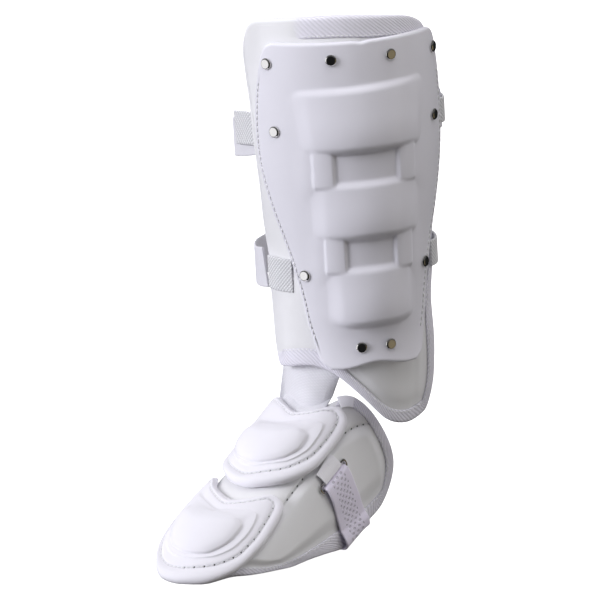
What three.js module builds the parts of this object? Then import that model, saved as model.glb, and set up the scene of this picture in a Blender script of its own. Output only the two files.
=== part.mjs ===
// Guard for the shin, ankle, instep and toes of a batter's right leg, in millimetres.
// The origin is on the leg's axis at the middle of the shin plate's height, +Z runs up the leg,
// the plate faces -Y and the inner side of the leg is +X.
import * as THREE from 'three';

// Driving sizes
const SHIN_FRONT = 78; // from the leg's axis to the front line of the plate
const PLATE_WALL = 3; // plate thickness away from its raised parts
const PANEL_RISE = 4.6; // how far the raised panel stands proud of the plate at its middle
const PILLOW_RISE = 4; // how far the pillows stand proud of the panel at its middle
const PLATE_SEAT = 2.2; // space between plate and base, which the tape's lip fills at the edges
const BASE_WALL = 7; // padded shin base
const FOOT_WALL = 4; // padded foot base
const TAPE_WALL = 0.9; // edge tape
const TAPE_GAP = 0.5; // between the tape and what it is folded over
const TAPE_INSIDE = 6; // width of the tape's inner lip
const PAD_GAP = 2.1; // between the foot base and the pads on it, clear of the tape's lip
const RIVET_RADIUS = 4.1;
const RIVET_RISE = 2;
const RIVET_GAP = 0.35;
const BAND_WALL = 1.8; // elastic bands and twill tabs
const WEB_WALL = 1.6; // elastic web between shin base and foot base
const STRAP_WIDTH = 28; // strap under the sole
const STRAP_WALL = 1.8;
const RIBBON_WALL = 0.8; // satin ribbon
const RIBBON_WIDTH = 22;
const RING_WIRE = 1.8;
const RING_LENGTH = 33; // between the middles of the ring's short sides
const RING_SPAN = 5.6; // between the middles of its long sides
const RING_LIFT = 3.6; // ring's middle above the foot base
const FOOT_TURN = THREE.MathUtils.degToRad(59); // the foot points this far outwards of the plate's front
const ANKLE = new THREE.Vector3(0.5, -15, -274); // below the ankle, on the ground

// Sections of the plate's outer face: circles that all touch one front line
const legSections = [
  { z: -200, radius: 61 },
  { z: -165, radius: 60.5 },
  { z: -124, radius: 59.5 },
  { z: -80, radius: 61.5 },
  { z: -35, radius: 67.2 },
  { z: 0, radius: 74.4 },
  { z: 33, radius: 79 },
  { z: 80, radius: 80 },
  { z: 140, radius: 77 },
];
// How far the outer side of the shin base flares out below the plate, growing between two distances
// from the middle
const FLARE_FROM = 42;
const FLARE_TO = 78;
const outerFlare = [
  { z: -170, flare: 3 },
  { z: -145, flare: 5 },
  { z: -122, flare: 5.5 },
  { z: -100, flare: 5 },
  { z: -65, flare: 3 },
  { z: -45, flare: 0.5 },
  { z: -30, flare: 0 },
  { z: 140, flare: 0 },
];
// The inner side's flare and the distance from the middle where it starts
const INNER_FLARE_RUN = 24;
const innerFlare = [
  { z: -170, flare: 4, from: 32 },
  { z: -145, flare: 6.2, from: 34 },
  { z: -121, flare: 7, from: 38 },
  { z: -104, flare: 6.6, from: 41 },
  { z: -85, flare: 5.3, from: 47 },
  { z: -57, flare: 3, from: 56 },
  { z: -40, flare: 0, from: 62 },
  { z: -30, flare: 0, from: 62 },
  { z: 140, flare: 0, from: 62 },
];
// Sections of the foot base's outer face: superellipses from the ground up
const footSections = [
  { forward: -20, height: 152, inner: 36, outer: 40, square: 3.0 },
  { forward: 0, height: 150, inner: 38, outer: 43, square: 3.0 },
  { forward: 30, height: 140, inner: 38, outer: 46, square: 3.2 },
  { forward: 55, height: 120, inner: 39, outer: 47, square: 3.5 },
  { forward: 100, height: 92, inner: 44, outer: 46, square: 3.2 },
  { forward: 150, height: 64, inner: 49, outer: 46, square: 2.9 },
  { forward: 180, height: 48, inner: 47, outer: 43, square: 2.7 },
  { forward: 200, height: 36, inner: 42, outer: 38, square: 2.6 },
  { forward: 218, height: 24, inner: 32, outer: 29, square: 2.5 },
];

// Shin plate: half width at each row of its grid, with rows closer at the edges of the raised parts
const plateRows = [
  { z: -121, half: 33 },
  { z: -115, half: 41.5 },
  { z: -104, half: 46.5 },
  { z: -93, half: 50.2 },
  { z: -85.5, half: 52.3 },
  { z: -72, half: 54.8 },
  { z: -57, half: 58.4 },
  { z: -50.5, half: 60.4 },
  { z: -42.5, half: 62.7 },
  { z: -34, half: 65.6 },
  { z: -27.5, half: 68 },
  { z: -20, half: 70.8 },
  { z: -4, half: 76.7 },
  { z: 13, half: 82 },
  { z: 20.5, half: 83.8 },
  { z: 36.5, half: 86.5 },
  { z: 44, half: 87.2 },
  { z: 64, half: 87.1 },
  { z: 83.5, half: 85 },
  { z: 90.5, half: 83.7 },
  { z: 108, half: 79.2 },
  { z: 117, half: 74.8 },
  { z: 121, half: 67 },
];
// Columns from the plate's middle: a share of the pillows' half width, then a share of the rim beyond it
const plateColumns = [
  { pillow: 0, rim: 0 },
  { pillow: 0.2, rim: 0 },
  { pillow: 0.42, rim: 0 },
  { pillow: 0.5, rim: 0 },
  { pillow: 0.6, rim: 0 },
  { pillow: 0.75, rim: 0 },
  { pillow: 0.86, rim: 0 },
  { pillow: 0.93, rim: 0 },
  { pillow: 1, rim: 0.13 },
  { pillow: 1, rim: 0.4 },
  { pillow: 1, rim: 0.7 },
  { pillow: 1, rim: 0.94 },
  { pillow: 1, rim: 1 },
];
const PILLOW_SHARE = 0.72; // most of the plate's half width that counts as pillow at its narrow end
const PLATE_DIP = { depth: 4, half: 26 }; // shallow hollow in the middle of the lower edge
const PLATE_NOTCH = { depth: 1, half: 7 }; // small notch in the middle of the upper edge
// Pillows on the raised panel, from its lower end up, and the windows sunk into it between them
const pillows = [
  { bottom: -89, top: -46.5, half: 34 },
  { bottom: -24, top: 17, half: 42 },
  { bottom: 40, top: 87, half: 46 },
];
const windows = [
  { bottom: -46.5, top: -24, half: 18.5 },
  { bottom: 17, top: 40, half: 24 },
];
const RELIEF_SOFT = 7; // length of the steps up to the pillows and down into the windows
const PANEL_SIDE = { share: 0.3, soft: 8 }; // height left at the panel's sides, and the length of their step
const rivetRows = [
  { z: 105.5, s: 72 },
  { z: 108.5, s: 22.5 },
  { z: 56, s: 68 },
  { z: -51, s: 50.5 },
  { z: -105, s: 11 },
];

// Shin base: side edges at shares of its height, then its lower and upper edges
const baseSides = [
  { v: 0, left: -85, right: 47 },
  { v: 0.03, left: -88.5, right: 52.5 },
  { v: 0.07, left: -91.5, right: 57.5 },
  { v: 0.14, left: -93.4, right: 61 },
  { v: 0.22, left: -95, right: 63 },
  { v: 0.28, left: -95.8, right: 67.5 },
  { v: 0.34, left: -96.5, right: 77 },
  { v: 0.4, left: -97, right: 85 },
  { v: 0.52, left: -93, right: 88 },
  { v: 0.7, left: -95, right: 88 },
  { v: 0.88, left: -98, right: 87.5 },
  { v: 0.95, left: -97, right: 83 },
  { v: 1, left: -90, right: 68 },
];
const baseLowerEdge = [
  { s: -98, z: -128 },
  { s: -67, z: -121.5 },
  { s: -52, z: -120 },
  { s: -35, z: -124.5 },
  { s: -16, z: -139.5 },
  { s: 7, z: -162 },
  { s: 19, z: -167.5 },
  { s: 33, z: -168.5 },
  { s: 44, z: -165 },
  { s: 52, z: -161.5 },
  { s: 60, z: -157 },
  { s: 90, z: -140 },
];
const baseUpperEdge = [
  { s: -100, z: 124 },
  { s: -92, z: 131.5 },
  { s: -80, z: 135 },
  { s: -20, z: 138 },
  { s: 18, z: 135.2 },
  { s: 45, z: 131.5 },
  { s: 58, z: 127.5 },
  { s: 68, z: 122 },
  { s: 90, z: 106 },
];
// Tape width along the shin base's edge
const shinTapeWidth = { top: 14, bottomLeft: 13, lobe: 9, side: 8 };

// Foot base: side edges at shares from toe to ankle, then the toe edge and the ankle edge
const footSides = [
  { v: 0, outer: -44, inner: 72 },
  { v: 0.15, outer: -49, inner: 76.5 },
  { v: 0.5, outer: -50, inner: 79.5 },
  { v: 0.8, outer: -48, inner: 78.5 },
  { v: 1, outer: -43, inner: 75 },
];
const footToeEdge = [
  { psi: -52, forward: 152 },
  { psi: -38, forward: 177 },
  { psi: -22, forward: 193 },
  { psi: -8, forward: 202 },
  { psi: 10, forward: 205 },
  { psi: 25, forward: 203.5 },
  { psi: 42, forward: 195 },
  { psi: 52, forward: 179 },
  { psi: 60.5, forward: 164.5 },
  { psi: 70.5, forward: 133 },
  { psi: 77, forward: 103 },
  { psi: 80, forward: 90 },
];
const footAnkleEdge = [
  { psi: -50, forward: 58 },
  { psi: -38, forward: 47 },
  { psi: -20, forward: 54 },
  { psi: 0, forward: 59 },
  { psi: 18, forward: 54 },
  { psi: 29, forward: 42 },
  { psi: 38, forward: 31 },
  { psi: 53.5, forward: 11 },
  { psi: 62, forward: 3 },
  { psi: 67.5, forward: 5 },
  { psi: 74.5, forward: 19.5 },
  { psi: 80, forward: 45 },
];
const FOOT_TAPE_WIDTH = 9;

// Pads on the foot base: middle, outline and height from the middle out to the rim
const instepPad = {
  crown: 12.2,
  centre: { forward: 92, psi: 2 },
  outline: [
    { forward: 63, psi: 0 },
    { forward: 58.5, psi: 18 },
    { forward: 50, psi: 29 },
    { forward: 45.5, psi: 36 },
    { forward: 48, psi: 43 },
    { forward: 68, psi: 44 },
    { forward: 91, psi: 42 },
    { forward: 113, psi: 33 },
    { forward: 125.5, psi: 17 },
    { forward: 128, psi: 0 },
    { forward: 124, psi: -18 },
    { forward: 110, psi: -34 },
    { forward: 84, psi: -39 },
    { forward: 57, psi: -40 },
    { forward: 48.5, psi: -35 },
    { forward: 57, psi: -20 },
  ],
};
const toePad = {
  crown: 10.8,
  centre: { forward: 169, psi: 6 },
  outline: [
    { forward: 140, psi: 3 },
    { forward: 136, psi: 18 },
    { forward: 128, psi: 28 },
    { forward: 123, psi: 35 },
    { forward: 124, psi: 43.5 },
    { forward: 143, psi: 48 },
    { forward: 161, psi: 50 },
    { forward: 181, psi: 50.5 },
    { forward: 199, psi: 43.5 },
    { forward: 209, psi: 26 },
    { forward: 211, psi: 6 },
    { forward: 207, psi: -12 },
    { forward: 195, psi: -25 },
    { forward: 179, psi: -33 },
    { forward: 152, psi: -38 },
    { forward: 127, psi: -38.5 },
    { forward: 120, psi: -34 },
    { forward: 133, psi: -20 },
  ],
};
// Height as a share of the crown
const padProfile = [
  { reach: 0.22, height: 0.98 },
  { reach: 0.42, height: 0.9 },
  { reach: 0.54, height: 0.68 },
  { reach: 0.63, height: 0.5 },
  { reach: 0.78, height: 0.44 },
  { reach: 0.88, height: 0.56 },
  { reach: 0.96, height: 0.48 },
  { reach: 1, height: 0.3 },
];
const PAD_SIDES = 36;
const padUnderside = [1, 0.8, 0.6, 0.3]; // reaches of the rings under a pad

// Elastic bands round the calf and the twill tabs that hold their ends: turn round the leg from the
// plate's middle in degrees, distance from the plate's face, and height
const calfBands = [
  { name: 'calf_band_upper', height: 29, rows: [
    { turn: -76, off: -11, z: 47 },
    { turn: -84, off: -9.4, z: 45 },
    { turn: -93, off: -7, z: 43 },
    { turn: -105, off: -4.9, z: 40 },
    { turn: -125, off: -5, z: 35 },
    { turn: -155, off: -8, z: 31 },
    { turn: -180, off: -9, z: 31 },
    { turn: -205, off: -8, z: 34 },
    { turn: -235, off: -5, z: 42 },
    { turn: -258, off: -2.4, z: 49 },
    { turn: -274, off: -1.4, z: 52 },
    { turn: -284, off: -1.4, z: 52.5 },
  ] },
  { name: 'calf_band_lower', height: 30, rows: [
    { turn: -83, off: 0.6, z: -51 },
    { turn: -88, off: 1.8, z: -52 },
    { turn: -95, off: 3, z: -53 },
    { turn: -103, off: 3.5, z: -53 },
    { turn: -112, off: 3, z: -53 },
    { turn: -128, off: 1, z: -53 },
    { turn: -155, off: -2, z: -52 },
    { turn: -180, off: -3, z: -51 },
    { turn: -205, off: -3, z: -50 },
    { turn: -235, off: -2.6, z: -50 },
    { turn: -258, off: -1.6, z: -50 },
    { turn: -278, off: -1, z: -50 },
  ] },
];
const bandTabs = [
  { name: 'tab_upper_left', height: 25, rows: [
    { turn: -71.5, off: -9.2, z: 53 },
    { turn: -76, off: -8, z: 53 },
    { turn: -84, off: -6.8, z: 52 },
    { turn: -91, off: -5, z: 51 },
  ] },
  { name: 'tab_lower_left', height: 25, rows: [
    { turn: -57, off: -2.6, z: -53.5 },
    { turn: -62, off: -1.8, z: -53.5 },
    { turn: -68, off: -0.9, z: -53.5 },
    { turn: -74, off: -0.3, z: -53.5 },
    { turn: -80, off: 0, z: -53.5 },
  ] },
  { name: 'tab_upper_right', height: 19, rows: [
    { turn: 66.5, off: -7, z: 52.5 },
    { turn: 68.5, off: -3.6, z: 52.5 },
    { turn: 72, off: 0.2, z: 52.5 },
    { turn: 77, off: 1.2, z: 52.5 },
    { turn: 88, off: 1, z: 52.5 },
  ] },
  { name: 'tab_lower_right', height: 20, rows: [
    { turn: 61, off: -1.6, z: -50 },
    { turn: 68, off: 1, z: -50 },
    { turn: 76, off: 1.7, z: -50 },
    { turn: 90, off: 1.4, z: -50 },
  ] },
];

// Elastic web: its upper edge inside the shin base's tape and its lower edge at the foot base's ankle edge
const WEB_GAP = 1.5;
const webUpper = { z: -116, from: -99, to: -22 };
const webLower = { from: -42, to: 24.5 };
const WEB_COLUMNS = 10;
const WEB_ROWS = 6;

// Ring on the inner side of the foot, the ribbon loop above it and the strap below it.
// Distances along the strap from a bar's middle, and off the foot from it
const ringPlace = { forward: 71.5, psi: 52.5, lean: THREE.MathUtils.degToRad(27) };
const ribbonFold = [
  { along: -11, off: -0.6 },
  { along: -7, off: 0.9 },
  { along: -3, off: 1.6 },
  { along: 0, off: 1.7 },
  { along: 1.2, off: 1.2 },
  { along: 1.7, off: 0 },
  { along: 1.2, off: -1.2 },
  { along: 0, off: -1.7 },
  { along: -5, off: -2.1 },
  { along: -10, off: -2.5 },
];
const strapFold = [
  { along: 9, off: -1.9 },
  { along: 3, off: -2.4 },
  { along: 0, off: -2.5 },
  { along: -1.8, off: -1.8 },
  { along: -2.5, off: 0 },
  { along: -1.8, off: 1.8 },
  { along: 0, off: 2.5 },
  { along: 4, off: 2.5 },
  { along: 9, off: 2 },
];
// The strap on the inner side, under the sole and on the outer side of the foot
const strapInner = [
  { forward: 63, psi: 66, lean: 25 },
  { forward: 58, psi: 72, lean: 22 },
  { forward: 55.5, psi: 76.5, lean: 20 },
];
const strapSole = [
  { forward: 53.5, medial: 46.5, up: 26.5, lean: 17 },
  { forward: 53, medial: 42.5, up: 20, lean: 13 },
  { forward: 53, medial: 15, up: 17, lean: 0 },
  { forward: 54, medial: -15, up: 17, lean: 0 },
  { forward: 55, medial: -43, up: 18.5, lean: 0 },
  { forward: 57, medial: -51, up: 27, lean: 0 },
  { forward: 60, medial: -52, up: 43, lean: 4 },
];
const strapOuter = [
  { forward: 66, psi: -58, lean: 12 },
  { forward: 70, psi: -51, lean: 18 },
  { forward: 75, psi: -42, lean: 22 },
];
const STRAP_OFF = 4.2; // strap's middle above the foot base, clear of the edge tape
// Satin ribbon over the end of the foot tape
const tapeEnd = { from: 28.5, to: 38, reach: 7.8, off: 1.9 };

const WHITE = 0xf1f0f4;
const finishes = {
  plate: { color: WHITE, roughness: 0.42, metalness: 0 },
  leather: { color: 0xecebee, roughness: 0.55, metalness: 0 },
  pad: { color: 0xf3f2f6, roughness: 0.5, metalness: 0 },
  tape: { color: 0xe6e5ec, roughness: 0.75, metalness: 0 },
  elastic: { color: 0xe3e1ea, roughness: 0.85, metalness: 0 },
  ribbon: { color: 0xdddbe4, roughness: 0.45, metalness: 0 },
  chrome: { color: 0xd2d2d4, roughness: 0.15, metalness: 1 },
};

const { lerp, smoothstep, degToRad } = THREE.MathUtils;

// Smooth curve through the rows of a table, held level past its ends
function tableCurve(rows, xKey, yKey) {
  const xs = rows.map((row) => row[xKey]);
  const ys = rows.map((row) => row[yKey]);
  const last = xs.length - 1;
  const slopes = xs.map((x, i) => {
    const low = Math.max(i - 1, 0);
    const high = Math.min(i + 1, last);
    return (ys[high] - ys[low]) / (xs[high] - xs[low]);
  });
  return (x) => {
    const at = Math.min(Math.max(x, xs[0]), xs[last]);
    let i = 0;
    while (i < last - 1 && at > xs[i + 1]) i += 1;
    const step = xs[i + 1] - xs[i];
    const t = (at - xs[i]) / step;
    const a = (1 + 2 * t) * (1 - t) ** 2 * ys[i] + t * (1 - t) ** 2 * step * slopes[i];
    const b = t * t * (3 - 2 * t) * ys[i + 1] + t * t * (t - 1) * step * slopes[i + 1];
    return a + b;
  };
}

const legRadius = tableCurve(legSections, 'z', 'radius');
const outerFlareAt = tableCurve(outerFlare, 'z', 'flare');
const innerFlareAt = tableCurve(innerFlare, 'z', 'flare');
const innerFlareFrom = tableCurve(innerFlare, 'z', 'from');
const footHeight = tableCurve(footSections, 'forward', 'height');
const footInnerHalf = tableCurve(footSections, 'forward', 'inner');
const footOuterHalf = tableCurve(footSections, 'forward', 'outer');
const footSquare = tableCurve(footSections, 'forward', 'square');

// Point at arc length s from the plate's middle line, at height z, off the plate's outer face
function onLeg(s, z, off) {
  const radius = legRadius(z);
  const turn = s / radius;
  const reach = radius + off;
  return new THREE.Vector3(reach * Math.sin(turn), radius - SHIN_FRONT - reach * Math.cos(turn), z);
}

// Point on or off the shin base's outer face
function onBase(s, z, off) {
  const from = innerFlareFrom(z);
  const outer = outerFlareAt(z) * smoothstep(-s, FLARE_FROM, FLARE_TO);
  const inner = innerFlareAt(z) * smoothstep(s, from, from + INNER_FLARE_RUN);
  return onLeg(s, z, outer + inner - PLATE_WALL - PLATE_SEAT + off);
}

const footForward = new THREE.Vector3(-Math.sin(FOOT_TURN), -Math.cos(FOOT_TURN), 0);
const footMedial = new THREE.Vector3(Math.cos(FOOT_TURN), -Math.sin(FOOT_TURN), 0);

// Point from distances along the foot, towards its inner side and up from the ground
function inFoot(forward, medial, up) {
  const point = ANKLE.clone().addScaledVector(footForward, forward).addScaledVector(footMedial, medial);
  point.z += up;
  return point;
}

function footSkin(forward, psi) {
  const angle = degToRad(psi);
  const square = footSquare(forward);
  const sine = Math.sin(angle);
  const cosine = Math.cos(angle);
  const reach = (Math.abs(sine) ** square + Math.abs(cosine) ** square) ** (-1 / square);
  const half = psi > 0 ? footInnerHalf(forward) : footOuterHalf(forward);
  return inFoot(forward, half * sine * reach, footHeight(forward) * cosine * reach);
}

const SMALL = 0.01;
// The foot skin's steps for a unit of each of its two values
function footSteps(forward, psi) {
  const along = footSkin(forward + SMALL, psi).sub(footSkin(forward - SMALL, psi));
  const round = footSkin(forward, psi + SMALL).sub(footSkin(forward, psi - SMALL));
  return { along: along.divideScalar(2 * SMALL), round: round.divideScalar(2 * SMALL) };
}

// Point off the foot base's outer face along its normal
function onFoot(forward, psi, off) {
  const { along, round } = footSteps(forward, psi);
  const normal = along.cross(round).normalize();
  return footSkin(forward, psi).addScaledVector(normal, off);
}

// Closed body from points and triangles, turned so that its faces point out
function closedBody(points, triangles) {
  let volume = 0;
  for (const [a, b, c] of triangles) {
    volume += points[a].dot(points[b].clone().cross(points[c]));
  }
  const turned = volume < 0 ? triangles.map(([a, b, c]) => [a, c, b]) : triangles;
  const geometry = new THREE.BufferGeometry();
  const values = points.flatMap((point) => [point.x, point.y, point.z]);
  geometry.setAttribute('position', new THREE.Float32BufferAttribute(values, 3));
  geometry.setIndex(turned.flat());
  geometry.computeVertexNormals();
  return geometry;
}

function quad(a, b, c, d) {
  return [[a, b, c], [a, c, d]];
}

// Wall between an inner and an outer skin, each a grid over the same two lists of shares
function wall(us, vs, inner, outer) {
  const points = [];
  for (const skin of [outer, inner]) {
    for (const v of vs) {
      for (const u of us) points.push(skin(u, v));
    }
  }
  const columns = us.length;
  const rows = vs.length;
  const at = (side, i, j) => side * columns * rows + j * columns + i;
  const triangles = [];
  for (let j = 0; j < rows - 1; j += 1) {
    for (let i = 0; i < columns - 1; i += 1) {
      triangles.push(...quad(at(0, i, j), at(0, i + 1, j), at(0, i + 1, j + 1), at(0, i, j + 1)));
      triangles.push(...quad(at(1, i, j + 1), at(1, i + 1, j + 1), at(1, i + 1, j), at(1, i, j)));
    }
  }
  const edge = edgeLoop(columns, rows);
  edge.forEach(([i, j], k) => {
    const [p, q] = edge[(k + 1) % edge.length];
    triangles.push(...quad(at(0, p, q), at(0, i, j), at(1, i, j), at(1, p, q)));
  });
  return closedBody(points, triangles);
}

// Grid places round the edge of a grid, in order
function edgeLoop(columns, rows) {
  const loop = [];
  for (let i = 0; i < columns - 1; i += 1) loop.push([i, 0]);
  for (let j = 0; j < rows - 1; j += 1) loop.push([columns - 1, j]);
  for (let i = columns - 1; i > 0; i -= 1) loop.push([i, rows - 1]);
  for (let j = rows - 1; j > 0; j -= 1) loop.push([0, j]);
  return loop;
}

function shares(count) {
  return Array.from({ length: count + 1 }, (_, i) => i / count);
}

// Section carried from station to station, closed into a loop or capped with its own outline
function sweep(stations, looped) {
  const sides = stations[0].length;
  const points = stations.flat();
  const triangles = [];
  const spans = looped ? stations.length : stations.length - 1;
  for (let k = 0; k < spans; k += 1) {
    const next = (k + 1) % stations.length;
    for (let i = 0; i < sides; i += 1) {
      const j = (i + 1) % sides;
      triangles.push(...quad(k * sides + i, next * sides + i, next * sides + j, k * sides + j));
    }
  }
  if (!looped) {
    const end = (stations.length - 1) * sides;
    // A folded section is capped across from its outer half to its inner half
    for (let i = 0; i < sides / 2 - 1; i += 1) {
      const j = sides - 1 - i;
      triangles.push(...quad(i, i + 1, j - 1, j));
      triangles.push(...quad(end + j, end + j - 1, end + i + 1, end + i));
    }
  }
  return closedBody(points, triangles);
}

// Flat strip: a rectangle across and through each point of a path
function strip(path, across, width, thick) {
  const curve = new THREE.CatmullRomCurve3(path, false, 'centripetal');
  const count = path.length - 1;
  const stations = path.map((point, i) => {
    const tangent = curve.getTangent(i / count);
    const side = across[i].clone().addScaledVector(tangent, -across[i].dot(tangent)).normalize();
    const normal = side.clone().cross(tangent).normalize();
    const corner = (w, t) => (
      point.clone().addScaledVector(side, w * width).addScaledVector(normal, t * thick)
    );
    return [corner(-0.5, 0.5), corner(0.5, 0.5), corner(0.5, -0.5), corner(-0.5, -0.5)];
  });
  return sweep(stations, false);
}

// Tape folded over an edge: an outer lip, the fold and a narrower inner lip.
// place(step, inset) gives the surface's two values at an inset from the edge
function foldedTape(steps, place, surface, thickness, widthAt, looped) {
  const stations = steps.map((step) => {
    const width = widthAt(step);
    const point = (inset, off) => surface(...place(step, inset), off);
    const far = TAPE_GAP + TAPE_WALL;
    return [
      point(width, far),
      point(width / 2, far),
      point(-far, far),
      point(-far, -thickness - far),
      point(TAPE_INSIDE, -thickness - far),
      point(TAPE_INSIDE, -thickness - TAPE_GAP),
      point(-TAPE_GAP, -thickness - TAPE_GAP),
      point(-TAPE_GAP, TAPE_GAP),
      point(width / 2, TAPE_GAP),
      point(width, TAPE_GAP),
    ];
  });
  return sweep(stations, looped);
}

const parts = new THREE.Group();
function add(name, geometry, finish) {
  const mesh = new THREE.Mesh(geometry, new THREE.MeshStandardMaterial(finishes[finish]));
  mesh.name = name;
  parts.add(mesh);
}

// Shin base
const baseLeft = tableCurve(baseSides, 'v', 'left');
const baseRight = tableCurve(baseSides, 'v', 'right');
const baseLow = tableCurve(baseLowerEdge, 's', 'z');
const baseHigh = tableCurve(baseUpperEdge, 's', 'z');

function basePlace(u, v) {
  const s = lerp(baseLeft(v), baseRight(v), u);
  return [s, lerp(baseLow(s), baseHigh(s), v)];
}

const BASE_COLUMNS = shares(20);
const BASE_ROWS = [
  0, 0.03, 0.08, 0.14, 0.2, 0.27, 0.34, 0.42, 0.5, 0.58, 0.66, 0.74, 0.82, 0.89, 0.94, 0.975, 1,
];
add('shin_base', wall(
  BASE_COLUMNS,
  BASE_ROWS,
  (u, v) => onBase(...basePlace(u, v), -BASE_WALL),
  (u, v) => onBase(...basePlace(u, v), 0),
), 'leather');

// Edge of a panel as evenly followed steps, each with its place and the way into the panel
function edgeSteps(columns, rows, place, metric) {
  const loop = edgeLoop(columns.length, rows.length).map(([i, j]) => place(columns[i], rows[j]));
  const count = loop.length;
  return loop.map((here, k) => {
    const before = loop[(k + count - 1) % count];
    const after = loop[(k + 1) % count];
    return { here, inward: metric(here, [after[0] - before[0], after[1] - before[1]]) };
  });
}

// On the leg both values are lengths, so the inward way is the edge turned a quarter left
function legInward(here, [ds, dz]) {
  const length = Math.hypot(ds, dz);
  return [-dz / length, ds / length];
}

const insetPlace = (step, inset) => [
  step.here[0] + step.inward[0] * inset,
  step.here[1] + step.inward[1] * inset,
];

const LOBE_START = -30;
function shinTapeAt({ here: [s, z] }) {
  if (z > 100) return lerp(shinTapeWidth.side, shinTapeWidth.top, smoothstep(z, 100, 130));
  if (z > -100) return shinTapeWidth.side;
  if (s < LOBE_START) return lerp(shinTapeWidth.side, shinTapeWidth.bottomLeft, smoothstep(-z, 100, 118));
  return shinTapeWidth.lobe;
}
const shinEdge = edgeSteps(BASE_COLUMNS, BASE_ROWS, basePlace, legInward);
add('shin_binding', foldedTape(shinEdge, insetPlace, onBase, BASE_WALL, shinTapeAt, true), 'tape');

// Shin plate: a wall whose outer skin rises at the panel and its pillows and sinks at the windows
function softBox(x, low, high) {
  const above = smoothstep(x, low - RELIEF_SOFT / 2, low + RELIEF_SOFT / 2);
  const beyond = smoothstep(x, high - RELIEF_SOFT / 2, high + RELIEF_SOFT / 2);
  return above * (1 - beyond);
}

function sum(values) {
  return values.reduce((total, value) => total + value, 0);
}

function hump(x, { depth, half }) {
  return Math.abs(x) < half ? depth * Math.cos((Math.PI * x) / (2 * half)) ** 2 : 0;
}

const pillowEnds = pillows.flatMap(({ bottom, top, half }) => [{ z: bottom, half }, { z: top, half }]);
const pillowHalf = tableCurve(pillowEnds, 'z', 'half');
const panel = { bottom: pillows[0].bottom, top: pillows[pillows.length - 1].top };

function plateRise(s, z) {
  const half = pillowHalf(z);
  const out = Math.min(Math.abs(s) / half, 1);
  const edge = 1 - smoothstep(Math.abs(s), half - PANEL_SIDE.soft / 2, half + PANEL_SIDE.soft / 2);
  const arch = edge * (1 - (1 - PANEL_SIDE.share) * out ** 2);
  const sunk = sum(windows.map((hole) => softBox(z, hole.bottom, hole.top) * softBox(s, -hole.half, hole.half)));
  const rolled = sum(pillows.map(({ bottom, top }) => softBox(z, bottom, top)));
  return arch * (PANEL_RISE * softBox(z, panel.bottom, panel.top) * (1 - sunk) + PILLOW_RISE * rolled);
}

function plateSkin(offset) {
  return ({ side, pillow, rim }, row) => {
    const inner = Math.min(pillowHalf(row.z), PILLOW_SHARE * row.half);
    const s = side * lerp(pillow * inner, row.half, rim);
    const top = plateRows.length - 1;
    const low = row === plateRows[0] ? hump(s, PLATE_DIP) : 0;
    const high = row === plateRows[top] ? hump(s, PLATE_NOTCH) : 0;
    const z = row.z + low - high;
    return onLeg(s, z, offset(s, z));
  };
}
const rightColumns = plateColumns.map((column) => ({ ...column, side: 1 }));
const leftColumns = plateColumns.slice(1).reverse().map((column) => ({ ...column, side: -1 }));
add('shin_plate', wall(
  [...leftColumns, ...rightColumns],
  plateRows,
  plateSkin(() => -PLATE_WALL),
  plateSkin(plateRise),
), 'plate');

// Rivets: low domes on the plate's face
const rivetProfile = [
  new THREE.Vector2(0, 0),
  new THREE.Vector2(RIVET_RADIUS, 0),
  new THREE.Vector2(RIVET_RADIUS, 0.3 * RIVET_RISE),
  new THREE.Vector2(0.72 * RIVET_RADIUS, 0.8 * RIVET_RISE),
  new THREE.Vector2(0, RIVET_RISE),
];
const RIVET_SIDES = 10;
const places = rivetRows.flatMap(({ z, s }) => [[-s, z], [s, z]]);
places.forEach(([s, z], i) => {
  const seat = onLeg(s, z, RIVET_GAP);
  const out = onLeg(s, z, RIVET_GAP + 1).sub(seat);
  const geometry = new THREE.LatheGeometry(rivetProfile, RIVET_SIDES);
  geometry.applyQuaternion(new THREE.Quaternion().setFromUnitVectors(new THREE.Vector3(0, 1, 0), out));
  geometry.translate(seat.x, seat.y, seat.z);
  add(`rivet_${String(i + 1).padStart(2, '0')}`, geometry, 'chrome');
});

// Calf bands and their tabs: upright strips along a curve round the leg
const BAND_STEPS = { band: 30, tab: 7 };
function upright({ height, rows }, steps) {
  const ordered = rows.map((row, i) => ({ ...row, place: i / (rows.length - 1) }));
  const [turnAt, offAt, zAt] = ['turn', 'off', 'z'].map((key) => tableCurve(ordered, 'place', key));
  const path = shares(steps).map((t) => {
    const z = zAt(t);
    return onLeg(legRadius(z) * degToRad(turnAt(t)), z, offAt(t));
  });
  return strip(path, path.map(() => new THREE.Vector3(0, 0, 1)), height, BAND_WALL);
}
calfBands.forEach((band) => add(band.name, upright(band, BAND_STEPS.band), 'elastic'));
bandTabs.forEach((tab) => add(tab.name, upright(tab, BAND_STEPS.tab), 'elastic'));

// Foot base
const footOuter = tableCurve(footSides, 'v', 'outer');
const footInner = tableCurve(footSides, 'v', 'inner');
const footToe = tableCurve(footToeEdge, 'psi', 'forward');
const footAnkle = tableCurve(footAnkleEdge, 'psi', 'forward');

function footPlace(u, v) {
  const psi = lerp(footOuter(v), footInner(v), u);
  return [lerp(footToe(psi), footAnkle(psi), v), psi];
}
const FOOT_COLUMNS = shares(24);
const FOOT_ROWS = shares(14);
add('foot_base', wall(
  FOOT_COLUMNS,
  FOOT_ROWS,
  (u, v) => onFoot(...footPlace(u, v), -FOOT_WALL),
  (u, v) => onFoot(...footPlace(u, v), 0),
), 'leather');

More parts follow.
